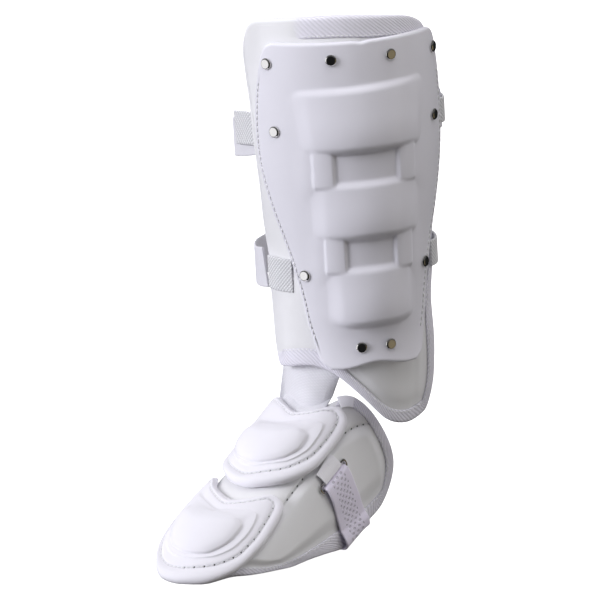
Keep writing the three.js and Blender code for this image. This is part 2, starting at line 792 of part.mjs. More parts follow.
// Ankle web: straight threads from the shin base down to the instep
function webSkin(side) {
  const inside = -BASE_WALL - TAPE_GAP - TAPE_WALL - WEB_GAP - WEB_WALL / 2;
  return (u, v) => {
    const turn = degToRad(lerp(webUpper.from, webUpper.to, u));
    const top = onBase(legRadius(webUpper.z) * turn, webUpper.z, inside + side);
    const psi = lerp(webLower.from, webLower.to, u);
    return top.lerp(onFoot(footAnkle(psi) - WEB_GAP, psi, side - FOOT_WALL / 2), v);
  };
}
add('ankle_web', wall(
  shares(WEB_COLUMNS),
  shares(WEB_ROWS),
  webSkin(-WEB_WALL / 2),
  webSkin(WEB_WALL / 2),
), 'elastic');

// Steps of the foot skin's two values for one millimetre in a given direction on it
function footWay(forward, psi, direction) {
  const { along, round } = footSteps(forward, psi);
  const aa = along.dot(along);
  const ar = along.dot(round);
  const rr = round.dot(round);
  const da = direction.dot(along);
  const dr = direction.dot(round);
  const scale = aa * rr - ar * ar;
  return [(da * rr - dr * ar) / scale, (dr * aa - da * ar) / scale];
}

function footInward(here, [df, dp]) {
  const { along, round } = footSteps(...here);
  const edge = along.clone().multiplyScalar(df).addScaledVector(round, dp).normalize();
  const normal = along.clone().cross(round).normalize();
  return footWay(...here, normal.cross(edge));
}
// The tape follows the edge except along the ankle edge under the web
const footEdge = edgeSteps(FOOT_COLUMNS, FOOT_ROWS, footPlace, footInward);
const ankleStart = FOOT_COLUMNS.length + FOOT_ROWS.length - 2;
const ankleEnd = ankleStart + FOOT_COLUMNS.length - 1;
const TAPE_STOP = 9; // grid steps of the ankle edge that the tape runs along, round the wing
const tapeRun = [...footEdge.slice(ankleEnd), ...footEdge.slice(0, ankleStart + TAPE_STOP + 1)];
add('foot_binding', foldedTape(tapeRun, insetPlace, onFoot, FOOT_WALL, () => FOOT_TAPE_WIDTH, false), 'tape');

// Pads: rings from a middle point out to a closed outline, on a bottom that follows the foot
function pad({ crown, centre, outline }) {
  const corners = outline.map(({ forward, psi }) => new THREE.Vector3(forward, psi, 0));
  const curve = new THREE.CatmullRomCurve3(corners, true, 'centripetal');
  const rim = curve.getPoints(PAD_SIDES).slice(0, PAD_SIDES);
  const ring = (reach, height) => rim.map(({ x, y }) => (
    onFoot(lerp(centre.forward, x, reach), lerp(centre.psi, y, reach), PAD_GAP + height)
  ));
  const bottoms = padUnderside.map((reach) => ring(reach, 0));
  const rings = [...padProfile.map(({ reach, height }) => ring(reach, crown * height)), ...bottoms];
  const points = rings.flat();
  const top = points.push(onFoot(centre.forward, centre.psi, PAD_GAP + crown)) - 1;
  const bottom = points.push(onFoot(centre.forward, centre.psi, PAD_GAP)) - 1;
  const triangles = [];
  const lastRing = (rings.length - 1) * PAD_SIDES;
  for (let i = 0; i < PAD_SIDES; i += 1) {
    const j = (i + 1) % PAD_SIDES;
    triangles.push([top, i, j], [bottom, lastRing + j, lastRing + i]);
    for (let k = 0; k < rings.length - 1; k += 1) {
      const here = k * PAD_SIDES;
      triangles.push(...quad(here + i, here + PAD_SIDES + i, here + PAD_SIDES + j, here + j));
    }
  }
  return closedBody(points, triangles);
}
add('instep_pad', pad(instepPad), 'pad');
add('toe_pad', pad(toePad), 'pad');

// Ring, ribbon loop and strap on the inner side of the foot, laid out along and across the strap
const ringOut = footSteps(ringPlace.forward, ringPlace.psi);
const ringNormal = ringOut.along.clone().cross(ringOut.round).normalize();
const barWay = footForward.clone().multiplyScalar(Math.cos(ringPlace.lean));
barWay.z -= Math.sin(ringPlace.lean);
barWay.addScaledVector(ringNormal, -barWay.dot(ringNormal)).normalize();
const downWay = ringNormal.clone().cross(barWay).normalize();
downWay.multiplyScalar(-Math.sign(downWay.z));
const barStep = footWay(ringPlace.forward, ringPlace.psi, barWay);
const downStep = footWay(ringPlace.forward, ringPlace.psi, downWay);

function nearRing(bar, along, off) {
  const forward = ringPlace.forward + bar * barStep[0] + along * downStep[0];
  const psi = ringPlace.psi + bar * barStep[1] + along * downStep[1];
  return onFoot(forward, psi, off);
}

const RING_STEPS = 24;
const WIRE_SIDES = 6;
const RING_CORNER = 2.2;
const ringOutline = new THREE.Shape();
const ringHalf = { x: RING_LENGTH / 2, y: RING_SPAN / 2 };
const cornerAt = { x: ringHalf.x - RING_CORNER, y: ringHalf.y - RING_CORNER };
ringOutline.moveTo(ringHalf.x, 0);
ringOutline.lineTo(ringHalf.x, cornerAt.y);
ringOutline.absarc(cornerAt.x, cornerAt.y, RING_CORNER, 0, Math.PI / 2);
ringOutline.absarc(-cornerAt.x, cornerAt.y, RING_CORNER, Math.PI / 2, Math.PI);
ringOutline.absarc(-cornerAt.x, -cornerAt.y, RING_CORNER, Math.PI, 1.5 * Math.PI);
ringOutline.absarc(cornerAt.x, -cornerAt.y, RING_CORNER, 1.5 * Math.PI, 2 * Math.PI);
ringOutline.closePath();
const ringStations = shares(RING_STEPS).slice(0, RING_STEPS).map((t) => {
  const middle = ringOutline.getPointAt(t);
  const tangent = ringOutline.getTangentAt(t);
  return shares(WIRE_SIDES).slice(0, WIRE_SIDES).map((turn) => {
    const out = (RING_WIRE / 2) * Math.cos(2 * Math.PI * turn);
    const lift = (RING_WIRE / 2) * Math.sin(2 * Math.PI * turn);
    return nearRing(middle.x + out * tangent.y, middle.y - out * tangent.x, RING_LIFT + lift);
  });
});
add('strap_ring', sweep(ringStations, true), 'chrome');

// Folded strip round one of the ring's long bars
function foldPath(rows, bar) {
  return rows.map(({ along, off }) => nearRing(0, bar + along, RING_LIFT + off));
}
const ribbonPath = foldPath(ribbonFold, -ringHalf.y);
add('ring_tab', strip(ribbonPath, ribbonPath.map(() => barWay), RIBBON_WIDTH, RIBBON_WALL), 'ribbon');

const leanWay = (lean) => {
  const way = footForward.clone().multiplyScalar(Math.cos(degToRad(lean)));
  way.z -= Math.sin(degToRad(lean));
  return way;
};
const strapTop = foldPath(strapFold, ringHalf.y);
const strapRows = [...strapInner, ...strapSole, ...strapOuter];
const strapPath = strapRows.map((row) => (
  row.medial === undefined ? onFoot(row.forward, row.psi, STRAP_OFF) : inFoot(row.forward, row.medial, row.up)
));
add('foot_strap', strip(
  [...strapTop, ...strapPath],
  [...strapTop.map(() => barWay), ...strapRows.map(({ lean }) => leanWay(lean))],
  STRAP_WIDTH,
  STRAP_WALL,
), 'elastic');

// Satin ribbon over the end of the foot tape, from the ankle edge inwards
const ribbonSkin = (off) => (u, v) => {
  const psi = lerp(tapeEnd.from, tapeEnd.to, u);
  const here = [footAnkle(psi), psi];
  const ahead = [footAnkle(psi + 1) - footAnkle(psi - 1), 2];
  const [df, dp] = footInward(here, [-ahead[0], -ahead[1]]);
  return onFoot(here[0] + df * v * tapeEnd.reach, here[1] + dp * v * tapeEnd.reach, off);
};
const RIBBON_GRID = shares(4);
add('binding_end', wall(
  RIBBON_GRID,
  RIBBON_GRID,
  ribbonSkin(tapeEnd.off),
  ribbonSkin(tapeEnd.off + RIBBON_WALL),
), 'ribbon');

export default parts;
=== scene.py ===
import bpy
import numpy as np
from mathutils import Matrix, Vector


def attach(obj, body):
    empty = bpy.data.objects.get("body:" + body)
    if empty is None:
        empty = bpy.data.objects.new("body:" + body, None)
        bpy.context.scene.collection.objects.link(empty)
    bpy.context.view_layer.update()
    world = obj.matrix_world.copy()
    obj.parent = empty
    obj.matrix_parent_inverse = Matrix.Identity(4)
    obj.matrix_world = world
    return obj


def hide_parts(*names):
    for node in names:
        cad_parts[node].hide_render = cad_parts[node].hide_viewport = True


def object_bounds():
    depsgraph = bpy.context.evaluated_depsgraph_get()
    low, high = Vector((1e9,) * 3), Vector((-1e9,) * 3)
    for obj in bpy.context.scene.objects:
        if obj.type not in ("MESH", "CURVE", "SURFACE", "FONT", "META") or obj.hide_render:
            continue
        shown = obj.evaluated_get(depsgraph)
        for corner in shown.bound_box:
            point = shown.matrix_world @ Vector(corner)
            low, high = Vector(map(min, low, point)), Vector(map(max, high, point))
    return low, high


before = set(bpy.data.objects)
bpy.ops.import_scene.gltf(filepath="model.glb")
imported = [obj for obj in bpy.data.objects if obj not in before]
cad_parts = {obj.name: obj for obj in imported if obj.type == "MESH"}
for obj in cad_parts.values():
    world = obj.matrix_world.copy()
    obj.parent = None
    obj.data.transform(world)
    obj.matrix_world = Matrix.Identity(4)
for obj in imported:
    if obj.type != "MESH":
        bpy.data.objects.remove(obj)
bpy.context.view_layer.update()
print("frame loaded:", len(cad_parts), "nodes")

# All shapes are worked out in millimetres, in the frame's own axes: the leg's axis at the middle of the
# plate's height is the origin, Z runs up the leg and the plate faces -Y.
metre = 0.001  # metres in a millimetre
upWay = np.array([0, 0, 1.0])


def curve(rows):
    # smooth line through (x, y) rows: cubic pieces with slopes from both neighbours, level past the ends
    x, y = np.array(rows, float).T
    ends = (y[[1, -1]] - y[[0, -2]]) / (x[[1, -1]] - x[[0, -2]])
    slope = np.concatenate([ends[:1], (y[2:] - y[:-2]) / (x[2:] - x[:-2]), ends[1:]])

    def at(value):
        value = np.clip(value, x[0], x[-1])
        i = np.clip(np.searchsorted(x, value) - 1, 0, len(x) - 2)
        step = x[i + 1] - x[i]
        t = (value - x[i]) / step
        first = (1 + 2 * t) * (1 - t) ** 2 * y[i] + t * (1 - t) ** 2 * step * slope[i]
        return first + t * t * (3 - 2 * t) * y[i + 1] + t * t * (t - 1) * step * slope[i + 1]

    return at


def columns(rows):
    # one smooth line per column of a table, all against its first column
    table = np.array(rows, float)
    return [curve(table[:, [0, k]]) for k in range(1, table.shape[1])]


def ease(x, low, high):
    t = np.clip((x - low) / (high - low), 0, 1)
    return t * t * (3 - 2 * t)


def between(x, low, full, fall, high):
    # rises from low to full and drops again from fall to high
    return ease(x, low, full) * (1 - ease(x, fall, high))


def lerp(a, b, t):
    return a + (b - a) * t


def unit(vectors):
    return vectors / np.linalg.norm(vectors, axis=-1, keepdims=True)


def square(vectors, ways):
    # the part of vectors at right angles to ways, at unit length
    return unit(vectors - (vectors * ways).sum(-1, keepdims=True) * ways)


def circled(turn, first, second):
    # points of a unit circle in the plane of two ways
    return np.cos(turn)[:, None] * first + np.sin(turn)[:, None] * second


def lengths(points, axis):
    return np.linalg.norm(np.diff(points, axis=axis), axis=-1)


def arc(points):
    # running length along a row of points
    return np.append(0, lengths(points, 0).cumsum())


def follow(values, far, at):
    # rows of values, known at lengths far, read off at other lengths
    return np.stack([np.interp(at, far, column) for column in values.T], -1)


def crossed(rows, cols):
    return np.meshgrid(rows, cols, indexing="ij")


def pairs(first, second):
    return np.stack(np.broadcast_arrays(first, second), -1)


leg = {
    "front": 78,  # from the leg's axis to the plate's front line
    # height, radius
    "radius": [(-200, 61), (-165, 60.5), (-124, 59.5), (-80, 61.5), (-35, 67.2), (0, 74.4), (33, 79),
               (80, 80), (140, 77)],
    # height, how far the shell's outer side flares out, over what distances from the middle
    "outerFlare": [(-170, 3), (-145, 5), (-122, 5.5), (-100, 5), (-65, 3), (-45, 0.5), (-30, 0), (140, 0)],
    "outerSpan": (42, 78),
    # height, how far the upper outer corner stands off, over what distances from the middle
    "cornerFlare": [(-200, 0), (70, 0), (95, 1.6), (120, 4.4), (140, 5)],
    "cornerSpan": (78, 98),
    # height, flare of the inner side, distance from the middle where it starts; then how far it takes to grow
    "innerFlare": [(-170, 4, 32), (-145, 6.2, 34), (-121, 7, 38), (-104, 6.6, 41), (-85, 5.3, 47),
                   (-57, 3, 56), (-40, 0, 62), (-30, 0, 62), (140, 0, 62)],
    "innerRun": 24,
    "seat": 5.2,  # the padded shell's face lies this far inside the plate's face
}
legRadius, outerFlare, cornerFlare = (curve(leg[key]) for key in ("radius", "outerFlare", "cornerFlare"))
innerFlare, innerStart = columns(leg["innerFlare"])


def onLeg(s, z, off):
    # circle of radius R(z) touching the front line: arc length s round it, off along its normal
    s, z, off = np.broadcast_arrays(s, z, off)
    radius = legRadius(z)
    turn, reach = s / radius, radius + off
    return np.stack([reach * np.sin(turn), radius - leg["front"] - reach * np.cos(turn), z], -1)


def onShell(s, z, off):
    # the shell's face: the leg's circle less the seat, with the sides flaring out below the plate
    start = innerStart(z)
    flare = outerFlare(z) * ease(-s, *leg["outerSpan"]) + cornerFlare(z) * ease(-s, *leg["cornerSpan"])
    flare = flare + innerFlare(z) * ease(s, start, start + leg["innerRun"])
    return onLeg(s, z, flare - leg["seat"] + off)


foot = {
    "turn": np.radians(59),  # the foot points this far outwards
    "ankle": np.array([0.5, -15, -274]),
    # forward, height, inner half, outer half, squareness
    "sections": [(-20, 152, 36, 40, 3), (0, 150, 38, 43, 3), (30, 140, 38, 46, 3.2), (55, 120, 39, 47, 3.5),
                 (100, 92, 44, 46, 3.2), (150, 64, 49, 46, 2.9), (180, 48, 47, 43, 2.7),
                 (200, 36, 42, 38, 2.6), (218, 24, 32, 29, 2.5)],
}
footHeight, footInner, footOuter, footSquare = columns(foot["sections"])
footForward = np.array([-np.sin(foot["turn"]), -np.cos(foot["turn"]), 0])
footMedial = np.array([np.cos(foot["turn"]), -np.sin(foot["turn"]), 0])


def inFoot(forward, medial, up):
    parts = np.broadcast_arrays(forward, medial, up)
    return foot["ankle"] + sum(p[..., None] * way for p, way in zip(parts, (footForward, footMedial, upWay)))


def footSkin(forward, psi):
    # superellipse standing on the ground: angle psi from its top, powers from the section table
    forward, psi = np.broadcast_arrays(np.asarray(forward, float), np.asarray(psi, float))
    sine, cosine, power = np.sin(np.radians(psi)), np.cos(np.radians(psi)), footSquare(forward)
    reach = (np.abs(sine) ** power + np.abs(cosine) ** power) ** (-1 / power)
    half = np.where(psi > 0, footInner(forward), footOuter(forward))
    return inFoot(forward, half * sine * reach, footHeight(forward) * cosine * reach)


def footSteps(forward, psi, small=0.01):
    # how the skin moves for a millimetre forward and for a degree round
    along = (footSkin(forward + small, psi) - footSkin(forward - small, psi)) / (2 * small)
    around = (footSkin(forward, psi + small) - footSkin(forward, psi - small)) / (2 * small)
    return along, around


def onFoot(forward, psi, off):
    # the foot's skin moved along its own normal
    forward, psi, off = np.broadcast_arrays(*(np.asarray(x, float) for x in (forward, psi, off)))
    return footSkin(forward, psi) + unit(np.cross(*footSteps(forward, psi))) * off[..., None]


def footWay(forward, psi, direction):
    # steps of forward and psi for one millimetre along a direction, from the skin's two steps
    along, around = footSteps(forward, psi)
    aa, ar, rr = (along * along).sum(-1), (along * around).sum(-1), (around * around).sum(-1)
    da, dr = (direction * along).sum(-1), (direction * around).sum(-1)
    return (da * rr - dr * ar) / (aa * rr - ar * ar), (dr * aa - da * ar) / (aa * rr - ar * ar)


def putObject(name, data, pose=None):
    held = bpy.data.objects.new(name, data)
    if pose is not None:
        held.matrix_world = Matrix(pose.tolist())
    bpy.context.scene.collection.objects.link(held)
    return held


def putMesh(name, points, loops, starts, uv, looks, faceLook=None, tags=None):
    # smooth mesh from flat lists: the corners of all faces in turn, where each face starts, uv at each corner
    mesh = bpy.data.meshes.new(name)
    for store, held in ((mesh.vertices, points), (mesh.loops, loops), (mesh.polygons, starts)):
        store.add(len(held))
    mesh.vertices.foreach_set("co", (points * metre).ravel())
    mesh.loops.foreach_set("vertex_index", loops.astype(np.int32))
    mesh.polygons.foreach_set("loop_start", starts.astype(np.int32))
    mesh.polygons.foreach_set("use_smooth", np.ones(len(starts), bool))
    if faceLook is not None:
        mesh.polygons.foreach_set("material_index", faceLook.astype(np.int32))
    mesh.uv_layers.new(name="fit").data.foreach_set("uv", uv.astype(np.float32).ravel())
    for tag, values in (tags or {}).items():
        layer = mesh.attributes.new(tag, "FLOAT", "POINT")
        layer.data.foreach_set("value", values.astype(np.float32).ravel())
    mesh.update(calc_edges=True)
    for look in looks:
        mesh.materials.append(look)
    piece = putObject(name, mesh)
    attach(piece, "root")
    return piece


def turnedIn(corners):
    # four corners a face: the volume under all faces, seen from the origin, comes out negative
    a, b, c, d = np.moveaxis(corners, 1, 0)
    return (a * (np.cross(b, c) + np.cross(c, d))).sum() < 0


def addTube(name, grid, looks, uv, ends="ladder", looped=False, lookOf=None, tags=None):
    # grid of rows, each row a closed ring of points; rows close into a loop, or end in a ladder between
    # the ring's two halves, or in one flat face. Faces are turned outwards by the sign of the volume
    rows, cols = grid.shape[:2]
    i, j = crossed(np.arange(rows if looped else rows - 1), np.arange(cols))
    places = pairs(i, j).reshape(-1, 1, 2) + np.array([(0, 0), (1, 0), (1, 1), (0, 1)])
    faceLook = (np.zeros(cols, int) if lookOf is None else lookOf)[j.ravel()]
    endRows = [] if looped else [(0, 1), (rows - 1, -1)]  # row, way round its face
    if ends == "ladder":
        k = np.arange(cols // 2 - 1)
        rung = np.stack([k, k + 1, cols - 2 - k, cols - 1 - k], -1)
        for row, step in endRows:
            places = np.concatenate([places, pairs(row, rung[:, ::step])])
            faceLook = np.append(faceLook, 0 * k)
    corners = (places[..., 0] % rows) * cols + places[..., 1] % cols
    loops, loopUv = corners.ravel(), uv[places[..., 0], places[..., 1]].reshape(-1, 2)
    starts = np.arange(len(corners)) * 4
    if ends == "disc":
        for row, step in endRows:
            order = np.arange(cols)[::step]
            starts = np.append(starts, len(loops))
            loops = np.append(loops, row * cols + order)
            loopUv = np.concatenate([loopUv, uv[row, order]])
            faceLook = np.append(faceLook, faceLook[0])
    points = grid.reshape(-1, 3)
    if turnedIn(points[corners]):
        sizes = np.diff(np.append(starts, len(loops)))
        turned = np.repeat(2 * starts + sizes - 1, sizes) - np.arange(len(loops))
        loops, loopUv = loops[turned], loopUv[turned]
    held = {tag: np.broadcast_to(values, (rows, cols)) for tag, values in (tags or {}).items()}
    return putMesh(name, points, loops, starts, loopUv, looks, faceLook, held)


def standFor(piece, slot, *nodes):
    if nodes:
        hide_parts(*nodes)
    return piece


def bothFaces(outer, inner):
    # a wall's rows as closed rings: across the outer face and back across the inner one
    return np.concatenate([outer, inner[:, ::-1]], 1)


def bothTags(outer, inner=0):
    return np.concatenate([outer, np.broadcast_to(inner, outer.shape)], 1)


def bothUv(points):
    # millimetres along the rows and across them, from the grid's own steps, the same on both faces
    across = np.pad(lengths(points, 1).cumsum(1), ((0, 0), (1, 0)))
    along = np.pad(lengths(points, 0).cumsum(0), ((1, 0), (0, 0)))
    uv = pairs(across, along)
    return np.concatenate([uv, uv[:, ::-1], uv[:, :1]], 1)


def sumOf(operation, turned=False):
    return lambda self, other=0.0: self.maths(operation, other, turned)


class Sock:
    # one socket of a look, so that sums on it add their Math nodes
    def __init__(self, look, socket):
        self.look, self.socket = look, socket

    def maths(self, operation, other=0.0, turned=False):
        pair = (other, self) if turned else (self, other)
        return self.look.node("ShaderNodeMath", {"operation": operation}, {0: pair[0], 1: pair[1]})

    __add__ = __radd__ = sumOf("ADD")
    __mul__ = __rmul__ = sumOf("MULTIPLY")
    __sub__, __rsub__ = sumOf("SUBTRACT"), sumOf("SUBTRACT", True)
    __truediv__, __pow__, __abs__ = sumOf("DIVIDE"), sumOf("POWER"), sumOf("ABSOLUTE")

    def wave(self, period):
        # 0 to 1 and back once a period
        return (self * (2 * np.pi / period)).maths("SINE") * 0.5 + 0.5

    def fold(self, period):
        # distance from the middle of the nearest repeat, in the same unit
        return abs((self / period).maths("FRACT") - 0.5) * period

    def below(self, edge, soft):
        # 1 under edge, falling to 0 over soft
        ends = {"From Min": edge - soft / 2, "From Max": edge + soft / 2, "To Min": 1.0, "To Max": 0.0}
        smooth = {"interpolation_type": "SMOOTHSTEP"}
        return self.look.node("ShaderNodeMapRange", smooth, {"Value": self, **ends})


class Look:
    # the nodes of a material, or of the room, around one shader
    def __init__(self, name, fixed, room=False):
        self.owner = bpy.data.worlds.new(name) if room else bpy.data.materials.new(name)
        self.owner.use_nodes = True
        self.tree = self.owner.node_tree
        self.tree.nodes.clear()
        self.shader = self.tree.nodes.new("ShaderNodeBackground" if room else "ShaderNodeBsdfPrincipled")
        end = self.tree.nodes.new("ShaderNodeOutputWorld" if room else "ShaderNodeOutputMaterial")
        self.tree.links.new(self.shader.outputs[0], end.inputs["Surface"])
        self.feed(fixed)

    def give(self, socket, value):
        if isinstance(value, Sock):
            self.tree.links.new(value.socket, socket)
        else:
            socket.default_value = value

    def feed(self, values):
        for key, value in values.items():
            self.give(self.shader.inputs[key], value)
        return self.owner

    def dress(self, colour, roughness, height):
        # height of the surface in millimetres
        normal = self.node("ShaderNodeBump", None, {"Height": height, "Distance": metre, "Strength": 1.0})
        return self.feed({"Base Color": colour, "Roughness": roughness, "Normal": normal})

    def node(self, kind, settings=None, sockets=None, out=0):
        made = self.tree.nodes.new(kind)
        for key, value in (settings or {}).items():
            setattr(made, key, value)
        for key, value in (sockets or {}).items():
            self.give(made.inputs[key], value)
        return Sock(self, made.outputs[out])

    def place(self):
        return self.node("ShaderNodeTexCoord", out="Object")

    def fit(self):
        # the piece's own millimetres along and across
        spot = self.node("ShaderNodeUVMap", {"uv_map": "fit"})
        return [self.node("ShaderNodeSeparateXYZ", None, {0: spot}, k) for k in (0, 1)]

    def tag(self, name):
        return self.node("ShaderNodeAttribute", {"attribute_name": name}, None, "Fac")

    def noise(self, size, detail=2.0):
        # cloudy values about 0.5, size in millimetres
        return self.node("ShaderNodeTexNoise", None,
                         {"Vector": self.place(), "Scale": 1 / (size * metre), "Detail": detail})

    def cells(self, size, feature="F1"):
        return self.node("ShaderNodeTexVoronoi", {"feature": feature},
                         {"Vector": self.place(), "Scale": 1 / (size * metre)})

    def mix(self, share, first, second):
        return self.node("ShaderNodeMix", {"data_type": "RGBA"}, {0: share, 6: first, 7: second}, 2)

    def tones(self, share, finish):
        # the finish's colour, from its first tone to its second
        return self.mix(share, *(shade(finish["colour"], tone) for tone in finish["tones"]))

    def worn(self, level, size, swing=0.1):
        # a level with clouds of the given size in it
        return level + (self.noise(size) - 0.5) * swing


def shade(colour, share=1):
    return tuple(c * share for c in colour) + (1.0,)


# near black for the needle holes: painted shade in them
holeShadeColour = shade((0.03, 0.03, 0.035))

plateFinish = {
    "colour": (0.797, 0.784, 0.855), "tones": (0.965, 1.03), "roughness": 0.42, "grain": 0.018,
    "pitch": 4.3, "hole": 0.75,
    "holeShadeFade": (95, 50),  # about this length up the seam and so far either way the painted shade in the needle holes is fainter
}


def plateLook():
    # satin moulded sheet: fine pebble, faint clouds, painted shade in the seam's groove and in its needle
    # holes
    look = Look("satinPlate", {"Coat Weight": 0.08, "Coat Roughness": 0.3})
    clouds = look.noise(34, 3)
    pebble = look.cells(0.9) * 0.6 + look.noise(0.45) * 0.4
    groove, along, holeShade = (look.tag(name) for name in ("groove", "along", "holeShade"))
    fromHole = plateFinish["pitch"] / 2 - along.fold(plateFinish["pitch"])
    # the needle holes get painted shade, full where the tag is 1
    hole = fromHole.below(plateFinish["hole"], 0.4) * groove * holeShade
    middle, near = plateFinish["holeShadeFade"]
    holeShadeFade = abs(along - middle).below(near, 24)
    colour = look.tones(clouds, plateFinish)
    # painted shade darkens the groove and, darker still, the needle holes
    colour = look.mix(groove * (0.8 - holeShade * 0.5), colour, shade(plateFinish["colour"], 0.5))
    colour = look.mix(hole * (0.75 - holeShadeFade * 0.5), colour, shade(plateFinish["colour"], 0.12))
    roughness = plateFinish["roughness"] + (clouds - 0.5) * 0.12 + groove * 0.2
    return look.dress(colour, roughness, pebble * plateFinish["grain"])


leatherFinish = {
    "colour": (0.842, 0.838, 0.862), "tones": (0.96, 1.03), "roughness": 0.36, "grain": 0.02,
    "pitch": 6.2, "hole": 0.62,
}


def leatherLook():
    # coated leather: wrinkled cells, soft clouds, painted shade along its seam's crease and in its needle
    # holes
    look = Look("smoothLeather", {"Sheen Weight": 0.05})
    clouds = look.noise(26, 3)
    wrinkle = look.noise(0.7, 3) * 0.8 - look.cells(1.5, "DISTANCE_TO_EDGE").below(0.12, 0.2)
    seam = look.tag("seam")
    spot = look.tag("seamAlong").fold(leatherFinish["pitch"]) ** 2 * 0.5 + look.tag("seamOff") ** 2
    hole = spot.maths("SQRT").below(leatherFinish["hole"], 0.5)
    colour = look.tones(clouds, leatherFinish)
    # painted shade along the seam's crease, then in its needle holes
    colour = look.mix(seam, colour, shade(leatherFinish["colour"], 0.5))
    colour = look.mix(hole * 0.92, colour, holeShadeColour)
    roughness = leatherFinish["roughness"] + (clouds - 0.5) * 0.14 + seam * 0.3
    return look.dress(colour, roughness, wrinkle * leatherFinish["grain"])


padFinish = {
    "colour": (0.855, 0.84, 0.9), "tones": (0.97, 1.02), "roughness": 0.5, "grain": 0.014,
    "pitch": 3.7, "hole": 0.66,
}


def padLook():
    # moulded foam with a matt skin; needle holes sit every second stitch along the sewn groove; painted shade
    # in the groove and, strongly over part of the way round, in the holes
    look = Look("mouldedPad", {"Sheen Weight": 0.06})
    clouds = look.noise(22, 3)
    pores = look.cells(0.55) * 0.7 + look.noise(1.6, 3) * 0.5
    fromHole = padFinish["pitch"] - look.fit()[0].fold(2 * padFinish["pitch"])
    spot = (fromHole ** 2 + look.tag("stitchOff") ** 2).maths("SQRT")
    hole = spot.below(padFinish["hole"], 0.3) * (look.tag("holeShade") * 0.85 + 0.1)
    colour = look.tones(clouds, padFinish)
    # painted shade in the sewn groove and in the needle holes
    colour = look.mix(look.tag("groove") * 0.36, colour, shade(padFinish["colour"], 0.6))
    colour = look.mix(hole, colour, holeShadeColour)
    roughness = padFinish["roughness"] + (clouds - 0.5) * 0.12
    return look.dress(colour, roughness, pores * padFinish["grain"] - hole * 0.7)


tapeFinish = {
    "colour": (0.845, 0.824, 0.915), "tones": (0.84, 1.04), "roughness": 0.72,
    "period": 2.0, "slope": np.radians(36), "rise": 0.2, "thread": 0.62,
}


def tapeLook():
    # twill tape: round ribs at a slope to its length, crossed by fine threads; leather where it is plain
    look = Look("twillTape", {"Sheen Weight": 0.15})
    u, v = look.fit()
    cosine, sine = np.cos(tapeFinish["slope"]), np.sin(tapeFinish["slope"])
    ribbed = 1 - look.tag("plain")
    rib = (v * cosine - u * sine).wave(tapeFinish["period"]) * ribbed
    thread = (u * cosine + v * sine).wave(tapeFinish["thread"]) * ribbed
    colour = look.tones(rib ** 0.7, tapeFinish)
    colour = look.mix(ribbed, shade(leatherFinish["colour"]), colour)
    roughness = look.worn(tapeFinish["roughness"], 9) - rib * 0.1
    return look.dress(colour, roughness, rib ** 0.8 * tapeFinish["rise"] + thread * 0.05)


strapFinish = {
    # the pressed ovals are darkened to the second tone: painted shade in their hollows
    "colour": (0.875, 0.82, 0.97), "tones": (1, 0.75), "roughness": 0.6,
    "ovalLong": 3.2, "ovalWide": 2.0, "pitchAlong": 3.0, "pitchAcross": 5.2, "patterned": 15.6, "yarn": 0.7,
}


def strapLook():
    # soft elastic strap: smooth borders, rows of staggered pressed ovals down the middle, darkened with
    # painted shade
    look = Look("pressedStrap", {"Sheen Weight": 0.2})
    u, v = look.fit()
    stagger = ((u / strapFinish["pitchAlong"]).maths("FLOOR") / 2).maths("FRACT") * strapFinish["pitchAcross"]
    across = (v + stagger).fold(strapFinish["pitchAcross"]) / (strapFinish["ovalLong"] / 2)
    along = u.fold(strapFinish["pitchAlong"]) / (strapFinish["ovalWide"] / 2)
    patterned = abs(v).below(strapFinish["patterned"] / 2, 0.4)
    oval = (across ** 2 + along ** 2).maths("SQRT").below(0.85, 0.5) * patterned
    colour = look.tones(oval, strapFinish)
    roughness = look.worn(strapFinish["roughness"], 9) + oval * 0.15
    return look.dress(colour, roughness, v.wave(strapFinish["yarn"]) * 0.03 - oval * 0.45)


def clothLook(name, finish, pattern):
    # a woven look: the pattern gives the share from dark to light and the height in millimetres
    look = Look(name, finish["fixed"])
    share, height = pattern(*look.fit())
    colour = look.tones(share, finish)
    return look.dress(colour, look.worn(*finish["rough"]), height)


# rough: level, size of its clouds and, where it isn't the usual, their swing
liningFinish = {
    "colour": (0.74, 0.74, 0.78), "tones": (0.78, 1.04), "rough": (0.85, 12), "fixed": {"Sheen Weight": 0.2},
    "pitch": 2.6, "thread": 0.55,
}


def liningPattern(u, v):
    # knitted lining: offset dimples
    pitch = liningFinish["pitch"]
    dimple = u.wave(pitch) * v.wave(pitch) + (u + pitch / 2).wave(pitch) * (v + pitch / 2).wave(pitch)
    return dimple, dimple * 0.28 + u.wave(liningFinish["thread"]) * 0.05


webFinish = {
    "colour": (0.9, 0.893, 0.95), "tones": (0.84, 1.03), "rough": (0.82, 10), "fixed": {"Sheen Weight": 0.2},
    "warp": 1.2, "weft": 1.2,
}


def webPattern(u, v):
    # elastic web: covered rubber threads one way and fine yarn the other
    warp, weft = u.wave(webFinish["warp"]), v.wave(webFinish["weft"])
    knot = warp * weft
    return knot + warp * 0.25, warp * 0.16 + weft * 0.1 + knot * 0.1


bandFinish = {
    "colour": (0.8, 0.79, 0.85), "tones": (0.84, 1.05), "rough": (0.78, 9), "fixed": {"Sheen Weight": 0.2},
    "rib": 1.25, "yarn": 0.9,
}


def bandPattern(u, v):
    # woven elastic band: ribs across its width, broken by the yarn over them
    rib = u.wave(bandFinish["rib"])
    yarn = (v + rib * 0.3).wave(bandFinish["yarn"])
    return rib * 0.6 + yarn * 0.4, rib * 0.12 + yarn * 0.06


twillFinish = {
    "colour": (0.83, 0.83, 0.86), "tones": (0.72, 1.06), "rough": (0.75, 9), "fixed": {"Sheen Weight": 0.15},
    "period": 2.0, "longer": 1.15,
}


